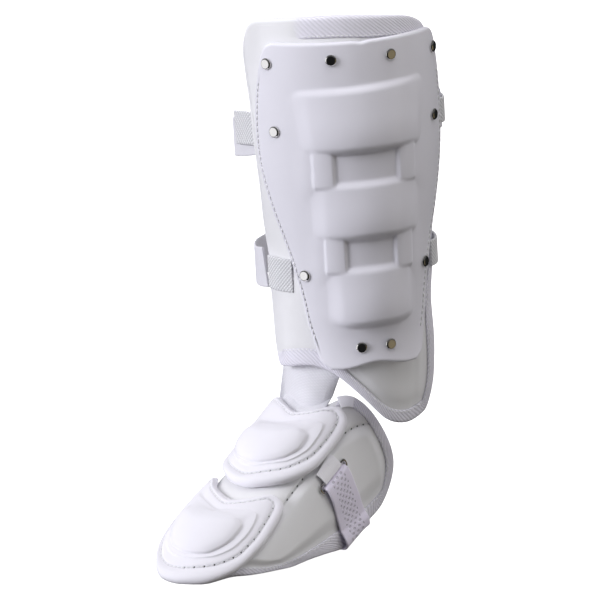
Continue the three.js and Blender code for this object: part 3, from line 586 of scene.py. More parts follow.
def twillPattern(u, v):
    # coarse webbing: rows of slanting bumps
    slant = (u * 0.72 + v * 0.69).wave(twillFinish["period"])
    broken = (u * 0.69 - v * 0.72).wave(twillFinish["period"] * twillFinish["longer"])
    bead = slant * (broken * 0.6 + 0.4)
    return bead, bead * 0.34


ribbonFinish = {
    "colour": (0.93, 0.915, 0.97), "tones": (0.94, 1.05), "rough": (0.3, 6, 0.12),
    "fixed": {"Anisotropic": 0.4, "Sheen Weight": 0.4}, "thread": 0.45, "cross": 1.4,
}


def ribbonPattern(u, v):
    # satin ribbon: long floats along its length
    thread, cross = v.wave(ribbonFinish["thread"]), u.wave(ribbonFinish["cross"])
    return thread * 0.5 + cross * 0.2, thread * 0.03 + cross * 0.02


threadFinish = {"colour": (0.96, 0.955, 0.98), "tones": (0.85, 1), "roughness": 0.6, "twist": 0.5}


def threadLook():
    # sewing thread: fine twist round each stitch
    look = Look("sewingThread", {"Sheen Weight": 1.0, "Sheen Roughness": 0.3})
    u, v = look.fit()
    ply = (u + v * 0.35).wave(threadFinish["twist"])
    colour = look.tones(ply, threadFinish)
    return look.dress(colour, threadFinish["roughness"] + ply * 0.1, ply * 0.05)


chromeFinish = {"colour": (0.86, 0.85, 0.83), "tones": (0.93, 1), "roughness": 0.07}


def chromeLook():
    # plated metal: faint scratches and handling marks
    look = Look("platedMetal", {"Metallic": 1.0})
    smear = look.noise(2.4, 4)
    drawn = {"Vector": look.place(), "Scale": (2600, 300, 900), "Rotation": (0.4, 0.2, 0.7)}
    spot = look.node("ShaderNodeMapping", None, drawn)
    scratch = look.node("ShaderNodeTexNoise", None, {"Vector": spot, "Scale": 1.0, "Detail": 3.0})
    colour = look.tones(smear, chromeFinish)
    return look.dress(colour, chromeFinish["roughness"] + smear * 0.06, scratch * 0.004)


satinPlate, smoothLeather, mouldedPad, twillTape = plateLook(), leatherLook(), padLook(), tapeLook()
pressedStrap, sewingThread, platedMetal = strapLook(), threadLook(), chromeLook()
knitLining = clothLook("knitLining", liningFinish, liningPattern)
elasticWeb = clothLook("elasticWeb", webFinish, webPattern)
wovenBand = clothLook("wovenBand", bandFinish, bandPattern)
twillWebbing = clothLook("twillWebbing", twillFinish, twillPattern)
satinRibbon = clothLook("satinRibbon", ribbonFinish, ribbonPattern)
print("looks made")

stitch = {
    # rings along a stitch: place as a share of its length, girth as a share of its thickness
    "rings": [(-0.5, 0.35), (-0.42, 0.8), (-0.15, 1), (0.15, 1), (0.42, 0.8), (0.5, 0.35)],
    "sides": 6,
    "arch": 0.25, "sink": 0.1,  # how far its middle rises and all of it sinks, in shares of its thickness
}


def addStitches(name, spots, ways, ups, length, thick):
    # one thread per spot: a rounded rod along its way, arched on its up and half sunk at both ends
    reach, girth = np.array(stitch["rings"]).T
    rings, sides = len(reach), stitch["sides"]
    turn = np.linspace(0, 2 * np.pi, sides + 1)[:-1]
    lift = (stitch["arch"] * (1 - 4 * reach ** 2) - stitch["sink"]) * thick
    # axes of the arrays: stitch, ring along it, corner of the ring, coordinate
    middle = spots[:, None] + reach[:, None] * length * ways[:, None] + lift[:, None] * ups[:, None]
    circle = circled(turn, unit(np.cross(ups, ways))[:, None], ups[:, None])
    points = middle[:, :, None] + (girth * thick / 2)[:, None, None] * circle[:, None]
    i, j = (k.ravel() for k in crossed(np.arange(rings - 1) * sides, np.arange(sides)))
    after = (j + 1) % sides
    quad = np.stack([i + j, i + sides + j, i + sides + after, i + after], -1)
    cap = np.stack([np.arange(sides), (rings - 1) * sides + np.arange(sides)[::-1]])
    base = np.arange(len(spots))[:, None, None] * rings * sides
    quads, caps = (base + quad).reshape(-1, 4), (base + cap).reshape(-1, sides)
    flat = points.reshape(-1, 3)
    # the volume is taken about each stitch's own spot
    if turnedIn(flat[quads] - np.repeat(spots, len(quad), 0)[:, None]):
        quads, caps = quads[:, ::-1], caps[:, ::-1]
    loops = np.append(quads, caps)
    starts = np.append(np.arange(len(quads)) * 4, quads.size + np.arange(len(caps)) * sides)
    own = np.broadcast_to(pairs(reach[:, None] * length, turn * thick / 2), points.shape[:3] + (2,))
    return putMesh(name, flat, loops, starts, own.reshape(-1, 2)[loops], [sewingThread])


def sewAlong(name, surface, line, off, pitch, length, thick):
    # evenly spaced stitches along a line on a surface, each pointing the way the line runs
    points = surface(line[:, 0], line[:, 1], off)
    ups = surface(line[:, 0], line[:, 1], off + 1) - points
    far = arc(points)
    at = np.arange(pitch / 2, far[-1], pitch)
    ways = unit(follow(np.gradient(points, far, axis=0), far, at))
    return addStitches(name, follow(points, far, at), ways, square(follow(ups, far, at), ways), length, thick)


# shin plate
plate = {
    # height, half width
    "half": [(-121, 33), (-115, 41.5), (-104, 46.5), (-93, 50.2), (-85.5, 52.3), (-72, 54.8), (-57, 58.4),
             (-50.5, 60.4), (-42.5, 62.7), (-34, 65.6), (-27.5, 68), (-20, 70.8), (-4, 76.7), (13, 82),
             (20.5, 83.8), (29, 85.5), (36.5, 86.5), (44, 87.2), (64, 87.1), (83.5, 85), (90.5, 83.7),
             (108, 79.2), (113, 77.3), (117, 74.6), (119.5, 71), (121, 66)],
    "low": -121, "high": 121,
    "dip": (4, 26), "notch": (1, 7),  # depth and half width of the hollows in the lower and upper edge
    "dipRun": 26, "notchRun": 12,  # the rows of points straighten out again over these heights
    "wall": 3, "roll": 2.4,
    "rollTop": 3.2, "rollLow": 10.4,  # heights of a roll's upper and lower end
    "bar": 2.1, "barRound": 0.6, "apron": 0.9,  # heights of the bars, of their rounding and of their surround
    # bottom, top, half width at each
    "pillows": [(-89, -46.5, 34, 35), (-24, 17, 42, 43.5), (40, 87, 48, 54)],
    "bow": (7, 8, 46),  # the lowest roll's end curves up at its sides: how far, over what distances
    "slant": 0.035,  # the topmost edge climbs towards the inner side
    "corner": (6, 10, 3),  # how far a roll's upper edge falls at its ends, from where inside to where outside
    "start": 1.5, "climb": 0.8,  # a roll starts this far below its bottom; power by which it thins upwards
    "crest": (-1.5, 3.5),  # a roll's upper edge rises over these distances below its top
    "belly": (7, 27),  # a roll's underside: half its height is reached over each of these lengths
    "sideLeft": (13, 8), "sideRight": (7, 4),  # a roll's side: from so far inside its width to so far outside
    "lip": (3.6, -95, 26),  # how far the lower end turns outwards, from what height, over what length
    # half width of the windows between the rolls, outer side of the bars beside them
    "windows": [(18.5, 34), (24, 40)],
    # where a bar and its surround rise and fall: from the bar's inner and outer side, from the rolls' ends
    "barSides": (-1, 1, -1, 0.8), "barEnds": (-5, -1, 3, 9),
    "apronSides": (-1, 1, 1, 16), "apronEnds": (-16, 2, -2, 12),
    "sideShare": 0.14,  # height left at the rolls' sides
    # seams: distance from the left and right edge; the left one lies in a groove, the right one on the face
    "groove": (3.2, 6.5), "grooveDeep": 0.55, "grooveHalf": 0.9,
    "grooveEnds": (-112, -98, 90, 100),  # heights between which it deepens and ends
    "sewn": (-99, 90), "stitchLong": 2.9, "stitchThick": 1.1,
    "stitchLift": (0.2, 0.15),  # how far the stitches' middle lies over the seam
}
plateHalf = curve(plate["half"])
pillowRows = [((bottom, low), (top, high)) for bottom, top, low, high in plate["pillows"]]
pillowHalf = curve(np.concatenate(pillowRows))


def hump(x, size):
    # squared cosine of the given height and half width
    return np.where(np.abs(x) < size[1], size[0] * np.cos(np.pi * x / (2 * size[1])) ** 2, 0)


def swell(x, low, high):
    # rises at once from low and levels off at high
    return 1 - (1 - np.clip((x - low) / (high - low), 0, 1)) ** 2


def plateRise(s, z):
    # three arched rolls, each thicker towards its underside; between them a window with a rounded bar on
    # either side, set in a low apron that runs out into the plate
    wide, far = pillowHalf(z), np.abs(s)
    bow = plate["bow"][0] * ease(far, *plate["bow"][1:]) ** 2
    inward, outward = (np.where(s < 0, *sides) for sides in zip(plate["sideLeft"], plate["sideRight"]))
    arch = 1 - (1 - plate["sideShare"]) * np.clip(far / wide, 0, 1) ** 2
    arch = arch * (1 - ease(far, wide - inward, wide + outward))
    fall, near, past = plate["corner"]
    drop = fall * ease(far, wide - near, wide + past) ** 2
    rolls, bars = 0, 0
    for k, (bottom, top) in enumerate(np.array(plate["pillows"])[:, :2]):
        start = bottom - plate["start"] + bow * (k == 0)
        belly = sum(swell(z, start, start + length) for length in plate["belly"]) / 2
        crest = swell(top + plate["slant"] * s * (k == 2) - drop - z, *plate["crest"])
        climb = np.clip((z - bottom) / (top - bottom), 0, 1) ** plate["climb"]
        rolls = rolls + belly * crest * lerp(plate["rollLow"], plate["rollTop"], climb)
    for (inner, outer), under, over in zip(plate["windows"], plate["pillows"], plate["pillows"][1:]):
        sides, ends = np.repeat([inner, outer], 2), np.repeat([under[1], over[0]], 2)
        across = (far - (inner + outer) / 2) / ((outer - inner) / 2)
        bar = plate["bar"] + plate["barRound"] * np.clip(1 - across ** 2, 0, 1)
        bar = bar * between(far, *(sides + plate["barSides"])) * between(z, *(ends + plate["barEnds"]))
        apron = plate["apron"] * between(far, *(sides + plate["apronSides"]))
        apron = apron * between(z, *(ends + plate["apronEnds"]))
        bars = bars + np.maximum(bar, apron)
    return np.maximum(arch * rolls, bars)


def plateLip(z):
    # the lower end turns outwards with the square of the distance below its start
    reach, start, length = plate["lip"]
    return reach * (np.clip(start - z, 0, None) / length) ** 2


def plateEdge(s, z, small=0.1):
    # distance from the plate's side edges, and from its nearest edge of all
    slope = (plateHalf(z + small) - plateHalf(z - small)) / (2 * small)
    side = (plateHalf(z) - np.abs(s)) / np.sqrt(1 + slope ** 2)
    low = z - plate["low"] - hump(s, plate["dip"])
    high = plate["high"] - hump(s, plate["notch"]) - z
    return side, np.minimum(side, np.minimum(low, high))


def plateOff(s, z):
    # relief, lip, quarter round along the edge and groove of the left seam
    side, edge = plateEdge(s, z)
    inset = plate["roll"] - np.clip(edge, 0, plate["roll"])
    rolled = np.sqrt(plate["roll"] ** 2 - inset ** 2) - plate["roll"]
    groove = 1 - ease(np.abs(side - plate["groove"][0]), 0, plate["grooveHalf"])
    groove = groove * between(z, *plate["grooveEnds"]) * (s < 0)
    return plateRise(s, z) + plateLip(z) + rolled - groove * plate["grooveDeep"], groove


def plateSpread(total, size):
    # shares from edge to edge of a size in millimetres, close together at both ends
    near = [0, 0.15, 0.4, 0.75, 1.2, 1.8, 2.5, 3.2, 3.7, 4.1, 4.5, 4.9, 5.3, 5.7, 6.2, 7, 8]
    near = np.array(near) / size
    middle = np.linspace(near[-1], 1 - near[-1], total)[1:-1]
    return np.concatenate([near, middle, 1 - near[::-1]])


rowsAt = lerp(plate["low"], plate["high"], plateSpread(165, plate["high"] - plate["low"]))
plateZ, plateShare = crossed(rowsAt, lerp(-1, 1, plateSpread(124, 140)))
plateS = plateShare * plateHalf(plateZ)
dip = hump(plateS, plate["dip"]) * (1 - ease(plateZ, plate["low"], plate["low"] + plate["dipRun"]))
notch = hump(plateS, plate["notch"]) * ease(plateZ, plate["high"] - plate["notchRun"], plate["high"])
plateZ = plateZ + dip - notch
plateOut, plateGroove = plateOff(plateS, plateZ)
plateFace = onLeg(plateS, plateZ, plateOut)
plateBack = onLeg(plateS, plateZ, plateLip(plateZ) - plate["wall"])
sewnZ = np.linspace(*plate["sewn"], 800)
plateAlong = np.interp(plateZ, sewnZ, arc(onLeg(plateHalf(sewnZ), sewnZ, 0)))
plateTags = {
    "groove": bothTags(plateGroove), "along": bothTags(plateAlong, plateAlong),
    "holeShade": bothTags(1 - 0.9 * (plateS > 0)),  # the needle holes get painted shade on the left; on the right only a tenth of it
}
plateWall = bothFaces(plateFace, plateBack)
shinPlate = addTube("shinPlate", plateWall, [satinPlate], bothUv(plateFace), tags=plateTags)
standFor(shinPlate, "plate", "shin_plate")
for side, label, inward, lift in zip((-1, 1), ("Left", "Right"), plate["groove"], plate["stitchLift"]):
    line = pairs(side * (plateHalf(sewnZ) - inward), sewnZ)
    sewn = sewAlong("plateStitches" + label, onLeg, line, plateOff(*line.T)[0] + lift,
                    plateFinish["pitch"], plate["stitchLong"], plate["stitchThick"])
    standFor(sewn, "plate")
print("shin plate:", plateFace.shape)

# rivets
rivet = {
    "radius": 4.3, "rise": 2.0, "seat": 0.1, "sides": 40,
    "places": [(105.5, 72), (108.5, 22.5), (56, 68), (-51, 50.5), (-105, 11)],  # height, distance either side
    # reach and height as shares of radius and rise, from the top's middle over the bevel to the underside
    "profile": [(0.05, 1), (0.5, 1), (0.74, 0.99), (0.8, 0.95), (0.86, 0.8), (0.93, 0.66), (0.98, 0.5),
                (1, 0.3), (1, 0.08), (0.97, 0), (0.5, 0), (0.05, 0)],
}
rivetSize = np.array(rivet["profile"]) * (rivet["radius"], rivet["rise"])
rivetTurn = np.linspace(0, 2 * np.pi, rivet["sides"] + 1)
for k, (z, s) in enumerate((z, side * s) for z, s in rivet["places"] for side in (-1, 1)):
    seat, above = (onLeg(s, z, rivet["seat"] + plateLip(z) + off) for off in (0, 1))
    out = unit(above - seat)
    across = unit(np.cross(upWay, out))
    circle = circled(rivetTurn[:-1], across, np.cross(out, across))
    grid = seat + rivetSize[:, :1, None] * circle + rivetSize[:, 1:, None] * out
    uv = pairs(rivetTurn * rivet["radius"], rivetSize[:, :1])
    head = addTube("rivetHead%02d" % (k + 1), grid, [platedMetal], uv, ends="disc")
    standFor(head, "chrome", "rivet_%02d" % (k + 1))
print("rivets: 10")


def panelLengths(place, surface):
    # lengths across and along a panel, so that an inset in millimetres becomes a share of each
    share = np.linspace(0, 1, 121)
    v, u = crossed(share, share)
    points = surface(*place(u, v), 0)
    across, along = lengths(points, 1).sum(1), lengths(points, 0).sum(0)
    return lambda v: np.interp(v, share, across), lambda u: np.interp(u, share, along)


def panelGrid(place, across, along, rows, cols, rim=2.6):
    # a panel's two coordinates, close together at its border and ending a rim inside the tape's fold, and the
    # distance from the border in millimetres
    tight = np.array([0, 0.003, 0.008, 0.015, 0.025])
    spread = [np.concatenate([tight, np.linspace(0.035, 0.965, n), 1 - tight[::-1]]) for n in (rows, cols)]
    v, u = crossed(*spread)
    wide, tall = across(v), along(u)
    first, second = place(lerp(rim / wide, 1 - rim / wide, u), lerp(rim / tall, 1 - rim / tall, v))
    return first, second, np.minimum(np.minimum(u, 1 - u) * wide, np.minimum(v, 1 - v) * tall)


def addPanel(name, face, back, tags):
    # leather outside, knitted lining inside
    return addTube(name, bothFaces(face, back), [smoothLeather, knitLining], bothUv(face),
                   lookOf=np.repeat([0, 1], face.shape[1]), tags=tags)


def soften(values, step, reach):
    # round average along a closed row, weights falling as a bell of the given reach
    k = np.arange(len(values))
    far = np.minimum(k, len(values) - k) * step
    bell = np.exp(-0.5 * (far / reach) ** 2)
    bell = np.fft.fft(bell / bell.sum()).reshape((-1,) + (1,) * (values.ndim - 1))
    return np.real(np.fft.ifft(np.fft.fft(values, axis=0) * bell, axis=0))


def panelBorder(place, surface, across, along, widthAt, corner, count=900):
    # evenly spaced shares round a panel's border: lower edge, right side, upper edge, left side; then the
    # border and the tape's inner edge, both with softened corners, and the tape's width
    t = np.linspace(0, 4, 4001)
    u = np.clip(np.minimum(t, 3 - t), 0, 1)
    v = np.clip(np.minimum(t - 1, 4 - t), 0, 1)
    far = arc(surface(*place(u, v), 0))
    at = np.interp(np.linspace(0, far[-1], count + 1)[:-1], far, t)
    u, v, step = np.interp(at, t, u), np.interp(at, t, v), far[-1] / count
    border = np.stack(place(u, v), -1)
    width = soften(widthAt(*border.T), step, 5)
    wide, tall = width / across(v), width / along(u)
    inset = np.stack(place(np.clip(u, wide, 1 - wide), np.clip(v, tall, 1 - tall)), -1)
    return u, v, soften(border, step, corner), soften(inset, step, corner), width


def outside(gap):
    # places of a closed row outside the one gap in it, starting at the gap's end
    first = np.nonzero(gap & ~np.roll(gap, -1))[0][0] + 1
    order = np.roll(np.arange(len(gap)), -first)
    return order[~gap[order]]


tape = {
    # outer lip from its sewn end to the edge: share of the lip's width, height over the panel's face
    "lip": [(1, 0.35), (0.985, 0.75), (0.94, 0.95), (0.8, 1.05), (0.6, 1.15), (0.4, 1.2), (0.2, 1.2),
            (0.08, 1.1)],
    "fold": 1.3,  # how far it stands out beyond the edge
    # inner lip: millimetres inside the edge, depth under the panel's back
    "back": [(1.5, 1.1), (3.6, 1.1), (5.7, 1.0), (6, 0.7)],
    "seam": 1.6, "seamOff": 1.0,  # the stitches' distance from the sewn end and from the panel's face
    "stitches": (3.4, 2.4, 0.6),  # pitch, length, thickness
}


def tapeProfile(wall):
    # across the tape: outer lip, round the fold, inner lip, and back underneath; each point has a share of
    # the lip's width, the millimetres beyond the edge and the height over the panel's face
    lip = np.insert(np.array(tape["lip"]), 1, 0, 1)
    turn = np.radians(np.linspace(68, -68, 9))
    out, height = tape["fold"] * np.cos(turn) ** 0.7, -wall / 2 + (wall / 2 + 1) * np.sin(turn)
    fold = np.stack([0 * turn, out, height], -1)
    back = np.insert(-np.array(tape["back"]), 0, 0, 1) - (0, 0, wall)
    flat = (1, 1, 0)
    under = [lip * flat + (0, 0, 0.1), fold * (1, 0.3, 0.9), back * flat - (0, 0, wall + 0.2)]
    return np.concatenate([lip, fold, back, np.concatenate(under)[::-1]])


def addTape(name, node, surface, border, inset, width, wall, looped, plain, sewn):
    # a folded strip carried along a panel's border; a point is border + share * (inset - border), less the
    # millimetres beyond the edge taken along the same way. plain is 1 where the edge has no ribs, and sewn
    # holds the places that have stitches
    profile = tapeProfile(wall)
    share = profile[None, :, 0] - profile[None, :, 1] / width[:, None]
    spot = border[:, None] + share[..., None] * (inset - border)[:, None]
    # a plain edge sinks into the panel at its sewn end
    grid = surface(spot[..., 0], spot[..., 1], profile[None, :, 2] - plain[:, None] * np.clip(share, 0, 1))
    rows = np.concatenate([border, border[:1]]) if looped else border
    across = np.append(0, lengths(grid, 1).mean(0).cumsum())
    uv = pairs(arc(surface(*rows.T, 0))[:, None], np.append(across, 0))
    piece = addTube(name, grid, [twillTape], uv, looped=looped, tags={"plain": plain[:, None]})
    standFor(piece, "tape", node)
    line = lerp(border, inset, (1 - tape["seam"] / width)[:, None])[sewn]
    standFor(sewAlong(name + "Stitches", surface, line, tape["seamOff"], *tape["stitches"]), "tape")


# padded shell behind the plate
shell = {
    # share of height, left edge, right edge
    "sides": [(0, -85, 47), (0.03, -88.5, 52.5), (0.07, -91.5, 57.5), (0.14, -93.4, 61), (0.22, -95, 63),
              (0.28, -95.8, 67.5), (0.34, -96.5, 77), (0.4, -97, 85), (0.52, -93, 88), (0.7, -95, 88),
              (0.88, -98, 87.5), (0.95, -97, 83), (1, -90, 68)],
    # distance round the leg, height
    "lower": [(-98, -128), (-67, -121.5), (-52, -120), (-35, -124.5), (-16, -139.5), (7, -162),
              (19, -167.5), (33, -168.5), (44, -165), (52, -161.5), (60, -157), (90, -140)],
    "upper": [(-100, 124), (-92, 131.5), (-80, 135), (-20, 138), (18, 135.2), (45, 131.5), (58, 127.5),
              (68, 122), (90, 106)],
    "wall": 7, "corner": 3,
    "puff": 1.1, "puffRun": (0, 9), "tuck": 0.2, "tuckRun": (-2, 1),  # runs: from the tape's inner edge
    "turnedPuff": 0.99, "liningPuff": 0.5, "liningRun": (4, 14),
    "tape": {"top": 14, "low": 13, "lobe": 9, "side": 8, "turned": 3},  # turned: plain edge of the outer side
    "topRun": (112, 130), "lowRun": (108, 118), "lobeFrom": -30, "sideEnd": 100,  # where its width changes
    # distances to the outer side and heights over which the edge becomes plain: along the side, along the top
    "plainSide": ((62, 84), (-124, -112)), "plainTop": ((40, 54), (100, 120)), "plainSewn": 0.3,
    "noSeam": 99,  # distance given where there is no seam
}
shellLeft, shellRight = columns(shell["sides"])
shellLow, shellHigh = curve(shell["lower"]), curve(shell["upper"])


def shellPlace(u, v):
    s = lerp(shellLeft(v), shellRight(v), u)
    return s, lerp(shellLow(s), shellHigh(s), v)


def shellTapeWidth(s, z):
    width = shell["tape"]
    side = np.where(s < 0, width["turned"], width["side"])
    low = lerp(side, width["low"], ease(-z, *shell["lowRun"]))
    low = np.where(s < shell["lobeFrom"], low, width["lobe"])
    high = lerp(side, width["top"], ease(z, *shell["topRun"]))
    return np.where(z > shell["sideEnd"], high, np.where(z > -shell["sideEnd"], side, low))


def turnedEdge(s, z):
    # 1 along the outer side and the outer end of the upper edge, where leather is turned over without ribs
    ends = (shell["plainSide"], shell["plainTop"])
    return np.maximum(*(ease(-s, *outward) * ease(z, *upward) for outward, upward in ends))


shellSizes = panelLengths(shellPlace, onShell)
shellS, shellZ, shellRim = panelGrid(shellPlace, *shellSizes, 105, 105)
bare = shellRim - shellTapeWidth(shellS, shellZ)  # distance from the tape's inner edge
shellOff = shell["puff"] * ease(bare, *shell["puffRun"]) - shell["tuck"] * (1 - ease(bare, *shell["tuckRun"]))
shellOff = lerp(shellOff, shell["turnedPuff"], turnedEdge(shellS, shellZ))
shellFace = onShell(shellS, shellZ, shellOff)
liningPuff = shell["liningPuff"] * ease(shellRim, *shell["liningRun"])
shellBack = onShell(shellS, shellZ, -shell["wall"] - liningPuff)
shellTags = {"seam": 0.0, "seamOff": float(shell["noSeam"]), "seamAlong": 0.0}
shinShell = addPanel("shinShell", shellFace, shellBack, shellTags)
standFor(shinShell, "leather", "shin_base")
_, _, border, inset, width = panelBorder(shellPlace, onShell, *shellSizes, shellTapeWidth, shell["corner"])
plain = turnedEdge(*border.T)
addTape("shinTape", "shin_binding", onShell, border, inset, width, shell["wall"], True, plain,
        outside(plain > shell["plainSewn"]))
print("shin shell and tape:", shellFace.shape)


def addStrip(name, path, across, width, thick, look, samples=24):
    # flat strip carried along a path: its section is a bar with rounded edges, across one way and along the
    # path's tangent the other, both made square to each other
    tangent = unit(np.gradient(path, arc(path), axis=0))
    side = square(np.broadcast_to(across, path.shape), tangent)
    normal = np.cross(side, tangent)
    x = np.sin(np.linspace(-np.pi / 2, np.pi / 2, samples)) * width / 2
    edge = np.clip((np.abs(x) - (width - thick) / 2) / (thick / 2), 0, 1)
    height = np.maximum(np.sqrt(1 - edge ** 2), 0.2) * thick / 2
    section = np.concatenate([pairs(x, height), pairs(x, -height)[::-1]])
    grid = path[:, None] + section[None, :, :1] * side[:, None] + section[None, :, 1:] * normal[:, None]
    uv = pairs(arc(path)[:, None], np.append(section[:, 0], section[0, 0]))
    return addTube(name, grid, [look], uv)


# bands round the calf and the webbing tabs that hold their ends
bands = {
    "wall": 1.7,
    # node: piece, height, then turn round the leg in degrees, distance off the plate's face, height
    "bands": {
        "calf_band_upper": ("calfBandUpper", 29, [
            (-76, -11, 47), (-84, -9.4, 45), (-93, -7, 43), (-105, -4.9, 40), (-125, -5, 35),
            (-155, -8, 31), (-180, -9, 31), (-205, -8, 34), (-235, -5, 42), (-258, -2.4, 49),
            (-274, -1.4, 52), (-284, -1.4, 52.5)]),
        "calf_band_lower": ("calfBandLower", 30, [
            (-83, 0.6, -51), (-88, 1.8, -52), (-95, 3, -53), (-103, 3.5, -53), (-112, 3, -53),
            (-128, 1, -53), (-155, -2, -52), (-180, -3, -51), (-205, -3, -50), (-235, -2.6, -50),
            (-258, -1.6, -50), (-278, -1, -50)]),
    },
    "tabs": {
        "tab_upper_left": ("tabUpperLeft", 25, [
            (-71.5, -9.2, 53), (-76, -8, 53), (-84, -6.8, 52), (-91, -5, 51)]),
        "tab_lower_left": ("tabLowerLeft", 25, [
            (-57, -2.6, -53.5), (-62, -1.8, -53.5), (-68, -0.9, -53.5), (-74, -0.3, -53.5), (-80, 0, -53.5)]),
        "tab_upper_right": ("tabUpperRight", 19, [
            (66.5, -7, 52.5), (68.5, -3.6, 52.5), (72, 0.2, 52.5), (77, 1.2, 52.5), (88, 1, 52.5)]),
        "tab_lower_right": ("tabLowerRight", 20, [
            (61, -1.6, -50), (68, 1, -50), (76, 1.7, -50), (90, 1.4, -50)]),
    },
}
for kind, look, count in (("bands", wovenBand, 160), ("tabs", twillWebbing, 48)):
    for node, (label, height, rows) in bands[kind].items():
        turnAt, offAt, zAt = columns([(k / (len(rows) - 1),) + row for k, row in enumerate(rows)])
        t = np.linspace(0, 1, count)
        path = onLeg(legRadius(zAt(t)) * np.radians(turnAt(t)), zAt(t), offAt(t))
        standFor(addStrip(label, path, upWay, height, bands["wall"], look), "elastic", node)
print("bands and tabs: 6")

# foot cover with its padded wing on the inner side
cover = {
    # share from toe to ankle, outer edge, inner edge in degrees
    "sides": [(0, -44, 72), (0.15, -49, 76.5), (0.5, -50, 79.5), (0.8, -48, 78.5), (1, -43, 75)],
    # degrees, forward
    "toe": [(-52, 152), (-38, 177), (-22, 193), (-8, 202), (10, 205), (25, 203.5), (42, 195), (52, 179),
            (60.5, 164.5), (70.5, 133), (77, 103), (80, 90)],
    "ankle": [(-50, 58), (-38, 47), (-20, 54), (0, 59), (18, 54), (29, 42), (38, 31), (53.5, 11), (62, 3),
              (67.5, 5), (74.5, 19.5), (80, 45)],
    # forward, degrees
    "seam": [(20, 51), (25, 50), (30.5, 49.1), (45.5, 46), (60, 43.5), (80, 42), (96, 41.7), (113, 42),
             (130, 42.5), (150, 43.5), (200, 44)],
    "wall": 4, "tape": 9, "corner": 4,
    "puff": 2.4, "puffRun": 9, "puffEdge": (-1, 9),  # swelling, its run from the seam and the tape
    "crease": 0.9, "creaseHalf": 1.8, "creaseRun": (4, 8),  # depth, half width, run from the border
    # depth and half width of the painted shade along the seam's crease
    "creaseShade": 0.5, "creaseShadeHalf": 1.2,
    "tapeStops": 31,  # degrees: from the outer corner to here the ankle edge has no tape, under the web
}
coverOuter, coverInner = columns(cover["sides"])
coverToe, coverAnkle, coverSeam = (curve(cover[key]) for key in ("toe", "ankle", "seam"))


def coverPlace(u, v):
    psi = lerp(coverOuter(v), coverInner(v), u)
    return lerp(coverToe(psi), coverAnkle(psi), v), psi


def coverTapeWidth(forward, psi):
    return np.full(psi.shape, float(cover["tape"]))


def coverPuff(seamGap, rimGap):
    # the wing swells between its seam and the tape; a crease runs along the seam
    swelling = ease(seamGap, 0, cover["puffRun"]) * ease(rimGap - cover["tape"], *cover["puffEdge"])
    crease = cover["crease"] * (1 - ease(np.abs(seamGap), 0, cover["creaseHalf"]))
    return cover["puff"] * swelling - crease * ease(rimGap, *cover["creaseRun"])


coverSizes = panelLengths(coverPlace, onFoot)
coverF, coverPsi, coverRim = panelGrid(coverPlace, *coverSizes, 150, 170)
roundStep = np.linalg.norm(footSteps(coverF, coverPsi)[1], axis=-1)  # millimetres a degree
seamOff = (coverPsi - coverSeam(coverF)) * roundStep  # distance from the wing's seam, positive on the wing
coverFace = onFoot(coverF, coverPsi, coverPuff(seamOff, coverRim))
coverBack = onFoot(coverF, coverPsi, -cover["wall"])
coverTags = {
    # painted shade along the crease of the wing's seam
    "seam": bothTags(cover["creaseShade"] * (1 - ease(np.abs(seamOff), 0, cover["creaseShadeHalf"]))),
    "seamOff": bothTags(seamOff, shell["noSeam"]), "seamAlong": bothTags(coverF, coverF),
}
footCover = addPanel("footCover", coverFace, coverBack, coverTags)
standFor(footCover, "leather", "foot_base")
borderU, borderV, border, inset, width = panelBorder(coverPlace, onFoot, *coverSizes, coverTapeWidth,
                                                     cover["corner"])
onAnkle = (borderV > 0.9999) & (borderU < 0.999)
order = outside(onAnkle & (border[:, 1] < cover["tapeStops"]))
border, inset, width = border[order], inset[order], width[order]
addTape("footTape", "foot_binding", onFoot, border, inset, width, cover["wall"], False, 0 * width,
        slice(None))
print("foot cover and tape:", coverFace.shape)

